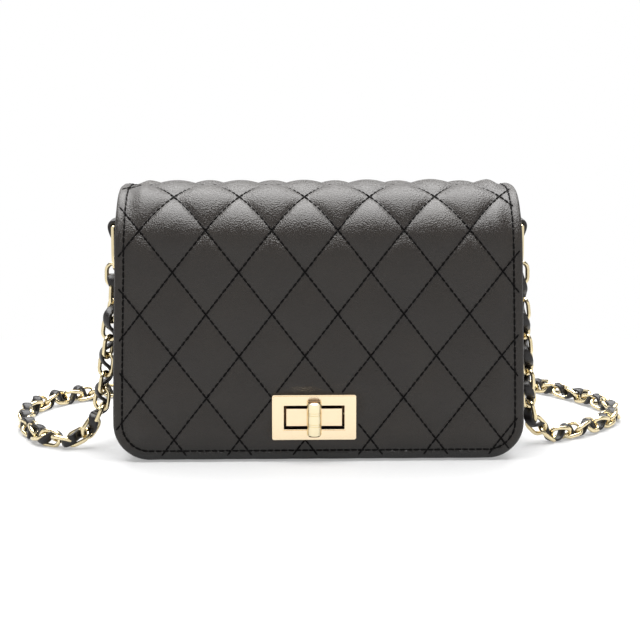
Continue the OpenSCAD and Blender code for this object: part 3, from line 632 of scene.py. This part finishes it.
def strip_path(half, low, top, radius, step=1.2):
    """Path (x, z) down the left side, round the corners along the foot, up the right, with its normals."""
    side = np.linspace(top, low + radius, int((top - low - radius) / step) + 1)
    turn = np.linspace(0, math.pi / 2, int(radius * math.pi / 2 / step) + 1)[1:]
    foot = np.linspace(-(half - radius), half - radius, int(2 * (half - radius) / step) + 1)[1:]
    left = stack(np.full_like(side, -half), side)
    corner = stack(-(half - radius) - radius * np.cos(turn), low + radius - radius * np.sin(turn))
    base = stack(foot, np.full_like(foot, low))
    corner_2 = stack(half - radius + radius * np.sin(turn), low + radius - radius * np.cos(turn))
    right = stack(np.full(len(side) - 1, half), side[::-1][1:])
    path = np.concatenate([left, corner, base, corner_2, right])
    run = unit(np.gradient(path, axis=0))
    return path, stack(run[:, 1], -run[:, 0])


def gusset_top(y):
    """Height of the gusset's top edge from front to back: level with the mouth, then up to the fold."""
    return STRIP_TOP + 18.5 * smoothstep(y, -12, 4) - 5.0 * smoothstep(y, 22, 32)


def gusset_sink(y, z):
    """How far the gusset sags inwards: one soft hollow between its edges and below its tab."""
    across = np.sin(math.pi * np.clip((y - GUSSET_FRONT_Y) / (GUSSET_BACK_Y - GUSSET_FRONT_Y), 0, 1))
    return across ** 1.3 * SAG * smoothstep(z, 16, 45) * (1 - smoothstep(z, 70, 92))


path, normal = strip_path(BODY_HALF, 0.0, STRIP_TOP, CORNER_R)
cross = np.linspace(GUSSET_FRONT_Y, GUSSET_BACK_Y, 45)
normal = -normal if normal[0, 0] > 0 else normal


def strip_surface(path, normal, cross, top_of, lift):
    """The strip carried across from front to back, its tops raised to the top edge's height."""
    px, pz = path[:, 0][:, None], path[:, 1][:, None]
    y = np.broadcast_to(cross, (len(path), len(cross)))
    stretch = (top_of(y) - STRIP_EASE) / (STRIP_TOP - STRIP_EASE)
    z = np.where(pz > STRIP_EASE, STRIP_EASE + (pz - STRIP_EASE) * stretch, pz)
    rise = lift(y, z)
    return stack(px + normal[:, 0][:, None] * rise, y + 0 * px, z + normal[:, 1][:, None] * rise)


def gusset_lift(y, z):
    """The strip's lift outwards: its sag, and a swell where it runs up to the fold above the tab."""
    swell = TAB_SWELL * smoothstep(z, 112, 119) * (1 - smoothstep(z, 121, 125)) * smoothstep(y, 0, 10)
    return -gusset_sink(y, z) + swell


outer = strip_surface(path, normal, cross, gusset_top, gusset_lift)
inner = strip_surface(path, normal, cross, gusset_top, lambda y, z: gusset_lift(y, z) - LEATHER_T)
loop = np.concatenate([outer, inner[:, ::-1]], 1)
points, quads = join_grids([(loop, True)])
gusset = piece("gusset_leather", points, quads, LEATHER, "bag_leather")
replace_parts(gusset, "gusset_left", "gusset_right", "gusset_base", "base_board")

# -------------------- lining

LINING_HALF, LINING_R, FLAP_LINING_IN = 96.3, 15.0, 2.6
POCKET_HALF, POCKET_LOW, POCKET_TOP, POCKET_SLACK = 60, 30, 88, 1.6


def lining_half(height):
    """The lining lies inside the gussets, and widens to the flap's lining past the fold."""
    return LINING_HALF + 1.3 * smoothstep(height, 108, FOLD_Z + 2)


def cloth_sheet(half_of, low, radius, top, surface, ripple, step=2.0, thick=LINING_T):
    """A thin closed sheet of cloth with a round-cornered foot, rippled by a slow sum of sines."""
    half0 = float(half_of(np.array([low + radius]))[0])
    x = columns(half0, radius, step)
    foot = foot_at(x, half0, low, radius)
    height = foot + (top - foot) * np.linspace(0, 1, int((top - low) / step))[:, None]
    across = x * half_of(height) / half0
    wave = ripple * (np.sin(across / 17 + height / 29) + np.sin(across / 31 - height / 13 + 1)) / 2
    return surface(across, height, wave), surface(across, height, wave - thick)


def back_lining_surface(x, height, rise):
    return on_profile(x, BACK_END - height, -FLAP_T - rise)


def front_lining_surface(x, height, rise):
    return stack(x, INNER_FRONT_Y + rise, height + 0 * x)


def flap_lining_surface(x, height, rise):
    return on_profile(x, height, -FLAP_T - rise)


outer, inner = cloth_sheet(lining_half, INNER_Z, LINING_R, BACK_TOP, back_lining_surface, 0.25)
made = piece("back_lining_cloth", *shell(outer, inner), LINING, "lining_cloth", None)
over_fold(made)
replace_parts(made, "lining_back")
outer, inner = cloth_sheet(constant(LINING_HALF), INNER_Z, LINING_R, MOUTH_H, front_lining_surface, 0.25)
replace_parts(piece("front_lining_cloth", *shell(outer, inner), LINING, "lining_cloth"), "lining_front")
flap_lining_half = constant(FLAP_HALF - FLAP_LINING_IN)
low, radius = FLAP_LIFT + FLAP_LINING_IN, CORNER_R - FLAP_LINING_IN
outer, inner = cloth_sheet(flap_lining_half, low, radius, CUT_S, flap_lining_surface, 0.12, step=1.6)
points, quads = shell(outer, inner)
quads = cut_slot(points, quads, 1.4, FRONT_Y, FRONT_Y + FLAP_T + 2)
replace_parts(piece("flap_lining_cloth", points, quads, LINING, "lining_cloth", "flap"), "flap_lining")
places, pitch = border_places(flap_lining_half, low, radius, CUT_S - 1, 2.0)
piece("flap_lining_stitches", *stitches(flap_lining_surface, *places.T, no_rise, pitch, lift=0.05),
      THREAD, "lining_cloth", "flap")

path, normal = strip_path(96.8, INNER_Z - LINING_T, STRIP_TOP, CORNER_R - LEATHER_T, step=2.0)
normal = -normal if normal[0, 0] > 0 else normal
cross = np.linspace(INNER_FRONT_Y, INNER_BACK_Y, 24)


def lining_top(y):
    return gusset_top(y) - 1.5


def lining_lift(y, z):
    return -gusset_sink(y, z) - 0.1


outer = strip_surface(path, normal, cross, lining_top, lining_lift)
inner = strip_surface(path, normal, cross, lining_top, lambda y, z: lining_lift(y, z) - LINING_T + 0.1)
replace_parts(piece("side_lining_cloth", *shell(outer, inner), LINING, "lining_cloth"), "lining_gusset")

across, height = np.meshgrid(np.linspace(-POCKET_HALF, POCKET_HALF, 61),
                             np.linspace(POCKET_LOW, POCKET_TOP, 30))
slack = (np.sin(math.pi * np.clip((across + POCKET_HALF) / (2 * POCKET_HALF), 0, 1)) ** 0.5
         * smoothstep(height, POCKET_LOW, 60))
pocket_y = INNER_BACK_Y - 0.75 - POCKET_SLACK * slack - 0.3 * np.sin(across / 9) * slack
outer = stack(across, pocket_y, height)
pocket = piece("slip_pocket_cloth", *shell(outer, outer + [0, LINING_T, 0]), LINING, "lining_cloth")
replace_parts(pocket, "slip_pocket")


def pocket_surface(x, height, rise):
    return stack(x, INNER_BACK_Y - 0.8 - rise, height)


rows = [(x, POCKET_LOW + 1.5, 1, 0) for x in np.arange(-57, 58, 3.0)]
rows += [(side * (POCKET_HALF - 1.5), z, 0, 1) for side in (-1, 1) for z in np.arange(33, 87, 3.0)]
places = np.array(rows, float)
piece("pocket_stitches", *stitches(pocket_surface, *places.T, no_rise, 3.0), THREAD, "lining_cloth")

# Binding folded over the mouth: a half round over the panel's top edge between two straight sides.
turn = np.linspace(0, math.pi, 12)
half_t = (INNER_FRONT_Y - PANEL_Y) / 2
mid_y = (INNER_FRONT_Y + PANEL_Y) / 2
BINDING_T, BINDING_HALF, BINDING_DEEP, BINDING_TURN = 0.62, 95.2, 6, 1.6


def binding_path(grow):
    """Its section (y, z), grown outwards from the panel's edge."""
    side = np.linspace(MOUTH_H - BINDING_DEEP, MOUTH_H - BINDING_TURN, 5)
    r = half_t + grow
    return np.concatenate([
        stack(np.full(5, mid_y - r), side),
        stack(mid_y - r * np.cos(turn), MOUTH_H - BINDING_TURN + (BINDING_TURN + grow) * np.sin(turn)),
        stack(np.full(5, mid_y + r), side[::-1])])


def binding_surface(x, height, rise):
    return stack(x, mid_y - half_t - BINDING_T - rise, height)


x = np.linspace(-BINDING_HALF, BINDING_HALF, 96)
grids = []
for grow in (BINDING_T, 0.05):
    line = binding_path(grow)
    y = line[:, :1] + 0.08 * np.sin(x / 7) * (grow > 0.1)
    grids.append(stack(x[None] + 0 * line[:, :1], y, line[:, 1:] + 0.1 * np.sin(x / 11)))
binding = piece("mouth_binding_leather", *shell(*grids), SMOOTH_LEATHER, "bag_leather")
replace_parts(binding, "mouth_binding")
places = stack(np.arange(-93, 94, 3.2), np.full(59, MOUTH_H - 4.6), np.ones(59), np.zeros(59))
piece("binding_stitches", *stitches(binding_surface, *places.T, no_rise, 3.2), THREAD, "bag_leather")

# Edge of the slot, bound in leather on the lining's side: an L section carried round its rectangle.
SLOT_IN = 0.6
corner = np.linspace(0, math.pi / 2, 6)
ring = []
for k, (sx, sz) in enumerate(((1, 1), (-1, 1), (-1, -1), (1, -1))):
    a = corner + k * math.pi / 2
    ca, sa = np.cos(a), np.sin(a)
    ring.append(stack(sx * (SLOT_W / 2 - SLOT_IN) + ca, sz * (SLOT_H / 2 - SLOT_IN) + sa, ca, sa))
ring = np.concatenate(ring)
section = np.array([[0.0, 0.3], [0.0, 5.0], [0.15, 5.35], [0.5, 5.5], [2.6, 5.45], [2.9, 5.25],
                    [2.9, 5.0], [0.6, 4.9], [0.6, 0.3]])
lip = stack(LOCK_X + ring[:, None, 0] + ring[:, None, 2] * section[None, :, 0],
            FRONT_Y + section[None, :, 1] + 0 * ring[:, None, 0],
            LOCK_Z + ring[:, None, 1] + ring[:, None, 3] * section[None, :, 0])
lip = np.concatenate([lip, lip[:1]])
piece("slot_edge_leather", *join_grids([(lip, True)]), SMOOTH_LEATHER, "bag_leather", "flap")

# -------------------- tabs

TAB_T, TAB_W, TAB_FOOT = 2.3, 12.0, 96.2
bar_r = RING_WIRE_R + 0.08 + TAB_T / 2 + 0.05
climb = np.linspace(TAB_FOOT, RING_Z, 22)
turn = np.linspace(0, math.pi, 16)[1:]
fall = np.linspace(RING_Z, TAB_FOOT, 26)[1:]
tab_line = np.concatenate([
    stack(np.full_like(climb, RING_X - bar_r), climb),
    stack(RING_X - bar_r * np.cos(turn), RING_Z + bar_r * np.sin(turn)),
    stack(RING_X + bar_r - (2 * bar_r - TAB_T - 0.1) * (1 - smoothstep(fall, 103.5, RING_Z)), fall)])
for side, name in ((-1, "left"), (1, "right")):
    line = stack(side * tab_line[:, 0], np.full(len(tab_line), GUSSET_MID_Y), tab_line[:, 1])
    run = unit(np.gradient(line, axis=0))
    wide = np.broadcast_to([0.0, 1.0, 0.0], line.shape)
    section = rounded_section(TAB_W, TAB_T, 20, 0.35, 0.45)
    made = piece(f"tab_leather_{name}", *sweep(line, wide, np.cross(run, wide), section),
                 SMOOTH_LEATHER, "bag_leather")
    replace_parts(made, f"tab_{name}")
    out_x = RING_X - bar_r + TAB_T * 1.5 + 0.1
    rows = ([(y, z, 1, 0) for z in (97.8, 103.0) for y in np.arange(-4, 4.1, 2.0)]
            + [(y, z, 0, 1) for y in (-4.9, 4.9) for z in (99.1, 101.6)])
    places = np.array(rows, float)
    points, quads = stitches(lambda y, z, r: stack(side * (out_x + r), GUSSET_MID_Y + y, z),
                             *places.T, no_rise, 2.0)
    piece(f"tab_stitches_{name}", points, quads, THREAD, "bag_leather")

# -------------------- strap route

LIE_Z = 4.4
LEFT_DROP = [
    [-102.93, 7.35, 91], [-103.2, 7, 78], [-105, 7, 62], [-107, 7, 46], [-109, 6, 31],
    [-112, 5, 16], [-119, 3, 7]]
LYING = [
    [-129, 2], [-140, 9], [-149, 23], [-156, 45], [-157, 67], [-151, 84], [-141, 96], [-129, 105],
    [-114, 112], [-85, 114], [-20, 114], [50, 114], [63, 109], [68, 96], [63, 83], [50, 78],
    [0, 78], [-66, 78], [-79, 73], [-84, 60], [-79, 47], [-66, 42], [-20, 42], [50, 42], [77, 49],
    [92, 67], [97, 88], [99, 107], [105, 119], [117, 125], [130, 119], [140, 108], [148, 97],
    [156, 84], [162, 68], [162, 51], [154, 36], [143, 24], [131, 15]]
RIGHT_DROP = [
    [118, 8, 5], [111, 6, 11], [108, 7, 24], [107, 7, 40], [105, 7, 60], [103.2, 7, 78],
    [102.93, 7.35, 91]]
ROUTE = np.array(LEFT_DROP + [place + [LIE_Z] for place in LYING] + RIGHT_DROP, float)
WIRE_R, LINK_L, LINK_W = 0.85, 13.0, 9.0
SHOWN_R, LEAN, TWIST, UPRIGHT = 1.1, 13, 75, 110
TIGHT_PITCH, SLACK_PITCH, TIGHT_LINKS = 9.3, 8.0, 7
BEND_R, LINK_SIDE = LINK_W / 2 - WIRE_R, LINK_L - LINK_W
FIRST_LINK = math.sqrt((BEND_R - WIRE_R - RING_WIRE_R - 0.1) ** 2 - 1.2 ** 2) + LINK_SIDE / 2

gaps = np.linalg.norm(np.diff(ROUTE, axis=0), axis=1)
runs = np.diff(ROUTE, axis=0) / gaps[:, None]
slopes = np.concatenate([
    runs[:1],
    (gaps[:-1, None] * runs[1:] + gaps[1:, None] * runs[:-1]) / (gaps[:-1] + gaps[1:])[:, None],
    runs[-1:]])
STEPS = 8


def route_at(u):
    """A cubic through each pair of route points; its slopes are chord-weighted means of the runs."""
    i = np.minimum(u.astype(int), len(ROUTE) - 2)
    t, g = (u - i)[:, None], gaps[i][:, None]
    return ((2 * t**3 - 3 * t**2 + 1) * ROUTE[i] + (t**3 - 2 * t**2 + t) * g * slopes[i]
            + (3 * t**2 - 2 * t**3) * ROUTE[i + 1] + (t**3 - t**2) * g * slopes[i + 1])


track = route_at(np.arange((len(ROUTE) - 1) * STEPS + 1) / STEPS)
reach = np.concatenate([[0], np.cumsum(np.linalg.norm(np.diff(track, axis=0), axis=1))])
STRAP_L = reach[-1]


def strap_point(s):
    return np.stack([np.interp(s, reach, track[:, k]) for k in range(3)], -1)


def strap_frame(s):
    """Run, width and face directions of the strap: level where it lies, facing the front where it hangs.

    Its left end is twisted most of a quarter turn between the ring and the ground.
    """
    run = unit(strap_point(np.minimum(s + 1, STRAP_L)) - strap_point(np.maximum(s - 1, 0)))
    turn = math.pi / 2 * np.maximum(1 - np.minimum(s, STRAP_L - s) / UPRIGHT, 0)
    up = stack(0 * turn, np.sin(turn), np.cos(turn))
    wide = unit(np.cross(run, up))
    twist = (math.radians(TWIST) * smoothstep(s, 8, 40) * (1 - smoothstep(s, 90, 130)))[:, None]
    wide = wide * np.cos(twist) + np.cross(run, wide) * np.sin(twist)
    return run, wide, np.cross(run, wide)


tight_run = FIRST_LINK + (TIGHT_LINKS - 1) * TIGHT_PITCH
slack_gaps = round((STRAP_L - 2 * tight_run) / SLACK_PITCH)
slack_step = (STRAP_L - 2 * tight_run) / slack_gaps
link_places = np.concatenate([
    FIRST_LINK + np.arange(TIGHT_LINKS) * TIGHT_PITCH,
    tight_run + np.arange(1, slack_gaps) * slack_step,
    STRAP_L - tight_run + np.arange(TIGHT_LINKS) * TIGHT_PITCH])
LINKS = len(link_places)


def link_meshes(numbers):
    """Round wire bent to two half circles and two straight sides, set at each place along the strap."""
    half = np.linspace(0, math.pi, 10)
    loop = np.concatenate([
        stack(BEND_R * np.cos(half), LINK_SIDE / 2 + BEND_R * np.sin(half)),
        stack(-BEND_R * np.cos(half), -LINK_SIDE / 2 - BEND_R * np.sin(half))])
    out = np.concatenate([stack(np.cos(half), np.sin(half)), stack(-np.cos(half), -np.sin(half))])
    around = np.linspace(0, 2 * math.pi, 8, endpoint=False)
    s = link_places[numbers]
    run, wide, face = strap_frame(s)
    from_end = np.minimum(numbers, LINKS - 1 - numbers)
    base = 45 * np.minimum(from_end / 3, 1)
    angle = np.where(numbers % 2 == 0, 1, -1) * np.where(from_end % 2 == 0, base, 90 - base)
    angle = np.radians(angle)[:, None]
    side = wide * np.cos(angle) + face * np.sin(angle)
    # Slack links zigzag: each pair leans a little across the strap, the next pair the other way.
    slack = np.minimum(np.maximum(from_end - TIGHT_LINKS, 0) / 3, 1)
    lean = (np.radians(LEAN) * np.where(numbers % 4 < 2, 1, -1) * slack)[:, None]
    flat = np.cross(run, side)
    run, third = run * np.cos(lean) + flat * np.sin(lean), flat * np.cos(lean) - run * np.sin(lean)
    in_plane = loop[:, None, :] + SHOWN_R * out[:, None, :] * np.cos(around)[None, :, None]
    off = np.broadcast_to(SHOWN_R * np.sin(around), in_plane.shape[:2])
    points = (strap_point(s)[:, None, None, :] + side[:, None, None, :] * in_plane[None, :, :, :1]
              + run[:, None, None, :] * in_plane[None, :, :, 1:]
              + third[:, None, None, :] * off[None, :, :, None]).reshape(-1, 3)
    points[:, 2] = np.maximum(points[:, 2], 0)
    rows, cols = len(loop), len(around)
    quads = grid_quads(rows + 1, cols, True) % (rows * cols)
    quads = (quads[None] + (np.arange(len(numbers)) * rows * cols)[:, None, None]).reshape(-1, 4)
    return points, quads


def hang(made, ring):
    """Bakes the transform of a hanging piece into its mesh; the piece is not bent, and the ring is not
    used.
    """
    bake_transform(made)


DROP = 9
FLOOR_NODES = ["chain_loop_left", "chain_rear", "chain_loop_right"]
numbers = np.arange(LINKS)
for name, chosen, solids, ring in (
        ("chain_links_left", numbers[:DROP], ["chain_drop_left"], "ring_left"),
        ("chain_links_floor", numbers[DROP:-DROP], FLOOR_NODES, None),
        ("chain_links_right", numbers[-DROP:], ["chain_drop_right"], "ring_right")):
    points, quads = link_meshes(chosen)
    made = piece(name, points, quads, GOLD, "chain_metal", None if ring else "root")
    if ring:
        hang(made, ring)
    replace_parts(made, *solids)

# -------------------- lace woven through the links

LACE_W, LACE_T, WEAVE, LOOSE_WEAVE, LACE_STEP = 5.0, 1.9, 3.0, 1.2, 0.7
RING_GAP, GROUND_POINT = 3.0, 5


def lace_points(s):
    """A flat lace that goes over one meeting of two links and under the next.

    Its middle leaves the strap's line by a cosine of the link count, so it runs through every link.
    """
    count = np.interp(s, link_places, np.arange(LINKS))
    phase = math.pi * (count - 0.5)
    run, wide, face = strap_frame(s)
    flat = smoothstep(np.minimum(s, STRAP_L - s), 95, 120)[:, None]
    swing = (np.cos(phase) / np.sqrt(np.cos(phase) ** 2 + 0.45 * np.sin(phase) ** 2))[:, None]
    down = np.sign(face[:, 2:]) * swing
    loose = (smoothstep(s, 95, 130) * (1 - smoothstep(s, 300, 340)))[:, None]
    amount = (WEAVE + LOOSE_WEAVE * loose) * (1 - 0.12 * flat * (down < 0))
    middle = strap_point(s) + face * swing * amount + wide * np.sin(phase)[:, None]
    middle[:, 2] = np.maximum(middle[:, 2], LACE_T / 2 + 0.05)
    along = unit(np.gradient(middle, axis=0))
    wide = unit(wide - along * np.sum(wide * along, 1, keepdims=True))
    return middle, along, wide, np.cross(along, wide)


def lace_mesh(low, high):
    s = np.linspace(low, high, int((high - low) / LACE_STEP))
    middle, along, wide, up = lace_points(s)
    points, quads = sweep(middle, wide, up, rounded_section(LACE_W, LACE_T, 14))
    points[:, 2] = np.maximum(points[:, 2], 0)
    return points, quads


POINT_REACH = reach[::STEPS]
LAND_LEFT, LAND_RIGHT = POINT_REACH[GROUND_POINT], POINT_REACH[len(ROUTE) - 1 - GROUND_POINT]
strap_rows = (
    ("lace_left", 0.0, LAND_LEFT, "lace_drop_left", "ring_left", "chain_links_left"),
    ("lace_on_floor", LAND_LEFT, LAND_RIGHT, "lace_floor", None, "chain_links_floor"),
    ("lace_right", LAND_RIGHT, STRAP_L, "lace_drop_right", "ring_right", "chain_links_right"))
for name, low, high, cad, ring, links in strap_rows:
    start, end = low + (RING_GAP if low == 0 else 0), high - (RING_GAP if high == STRAP_L else 0)
    points, quads = lace_mesh(start, end)
    made = piece(name, points, quads, SMOOTH_LEATHER, "lace_leather", None if ring else "root")
    if ring:
        hang(made, ring)
    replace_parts(made, cad)
    line = strap_point(np.linspace(start, end, max(20, int((end - start) / 8)))) * MM
    if ring == "ring_right":
        line = line[::-1]
    tuple(line[0])

# -------------------- carried-over hard parts

FINISH = {"lock_frame": FRAME_GOLD, "lock_block": BLOCK_GOLD, "lock_toggle": LOCK_GOLD,
          "toggle_spindle": GOLD, "d_ring_left": GOLD, "d_ring_right": GOLD,
          "lock_frame_plate": DULL, "lock_frame_rivets": DULL, "lock_block_plate": DULL,
          "lock_block_rivets": DULL, "toggle_spring_washer": DULL}
for name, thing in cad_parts.items():
    finish = FINISH.get(name, SMOOTH_LEATHER)
    thing.data.materials.clear()
    thing.data.materials.append(finish)

# -------------------- camera, light and floor

CAMERA_DOWN, CAMERA_TURN = 5.7, -1.3
camera_data = bpy.data.cameras.new("camera")
camera_data.lens, camera_data.sensor_width, camera_data.shift_y = 82.1, 36.0, -0.1912
camera = bpy.data.objects.new("camera", camera_data)
camera.location = (-0.0155, -0.7248, 0.200)
camera.rotation_euler = (math.radians(90 - CAMERA_DOWN), 0, math.radians(CAMERA_TURN))
bpy.context.scene.collection.objects.link(camera)
bpy.context.scene.camera = camera


def area_light(name, place, aim, size, power):
    data = bpy.data.lights.new(name, "AREA")
    data.shape, data.size, data.size_y, data.energy = "RECTANGLE", size[0], size[1], power
    lamp = bpy.data.objects.new(name, data)
    lamp.location = place
    direction = np.array(aim, float) - np.array(place, float)
    lamp.rotation_euler = (math.atan2(math.hypot(direction[0], direction[1]), -direction[2]), 0,
                           math.atan2(direction[0], -direction[1]) + math.pi)
    bpy.context.scene.collection.objects.link(lamp)


area_light("top_softbox", (0.0, -0.17, 0.85), (0, 0.0, 0.08), (1.1, 0.48), 15)
area_light("rear_softbox", (0.0, 0.36, 0.78), (0, 0.03, 0.12), (1.3, 0.60), 18)
area_light("front_left_softbox", (-0.9, -1.0, 0.7), (0, 0, 0.07), (0.8, 0.8), 0.8)
area_light("front_right_softbox", (0.9, -1.0, 0.6), (0, 0, 0.07), (0.8, 0.8), 0.6)


def seen_rays(add):
    """1 for the camera's own rays and for reflected and transmitted ones, else 0."""
    ray = add("LightPath")
    clear = add("Math", {"operation": "MAXIMUM"}, i0=ray.outputs["Is Camera Ray"],
                i1=ray.outputs["Is Transmission Ray"])
    return add("Math", {"operation": "MAXIMUM"}, i0=clear, i1=ray.outputs["Is Glossy Ray"])


# White walls up to eye height under a dim ceiling; only soft fill reaches matt surfaces from them.
world = bpy.data.worlds.new("studio")
bpy.context.scene.world = world
world.use_nodes = True
world.node_tree.nodes.clear()
add = functools.partial(node, world.node_tree)
wall = add("MapRange", {"To Min": 0.3, "To Max": 1.0}, Value=seen_rays(add))
height = add("SeparateXYZ", Vector=add("TexCoord").outputs["Generated"]).outputs["Z"]
ceiling = add("MapRange", {"From Min": 0.36, "From Max": 0.5, "To Min": 1.0, "To Max": 0.12,
                           "interpolation_type": "SMOOTHSTEP"}, Value=height)
strength = add("Math", {"operation": "MULTIPLY"}, i0=wall, i1=ceiling)
add("OutputWorld", Surface=add("Background", {"Color": (1, 1, 1, 1)}, Strength=strength))

FLOOR, add = material("painted_board_matt_white")
place = add("TexCoord").outputs["Object"]
board_grain = add("TexNoise", {"Scale": 400.0}, Vector=place)
tone = add("MapRange", {"To Min": 0.50, "To Max": 0.54}, Value=board_grain)
board = add("BsdfPrincipled", {"Roughness": 0.7}, Base_Color=tone)
# Away from the bag the board fades to plain white for the camera and for reflections.
away = add("VectorMath", {"operation": "LENGTH"}, i0=place).outputs["Value"]
fade = add("MapRange", {"From Min": 0.16, "From Max": 0.36, "To Min": 0.35, "To Max": 1.0,
                        "interpolation_type": "SMOOTHSTEP"}, Value=away)
share = add("Math", {"operation": "MULTIPLY"}, i0=fade, i1=seen_rays(add))
white = add("Emission", {"Color": (1, 1, 1, 1), "Strength": 1.0})
add("OutputMaterial", Surface=add("MixShader", i0=share, i1=board, i2=white))
floor_mesh = bpy.data.meshes.new("floor")
floor_mesh.from_pydata([(-6, -6, 0), (6, -6, 0), (6, 6, 0), (-6, 6, 0)], [], [(0, 1, 2, 3)])
floor_mesh.materials.append(FLOOR)
floor = bpy.data.objects.new("floor", floor_mesh)
bpy.context.scene.collection.objects.link(floor)

bpy.context.scene.view_settings.view_transform = "Standard"
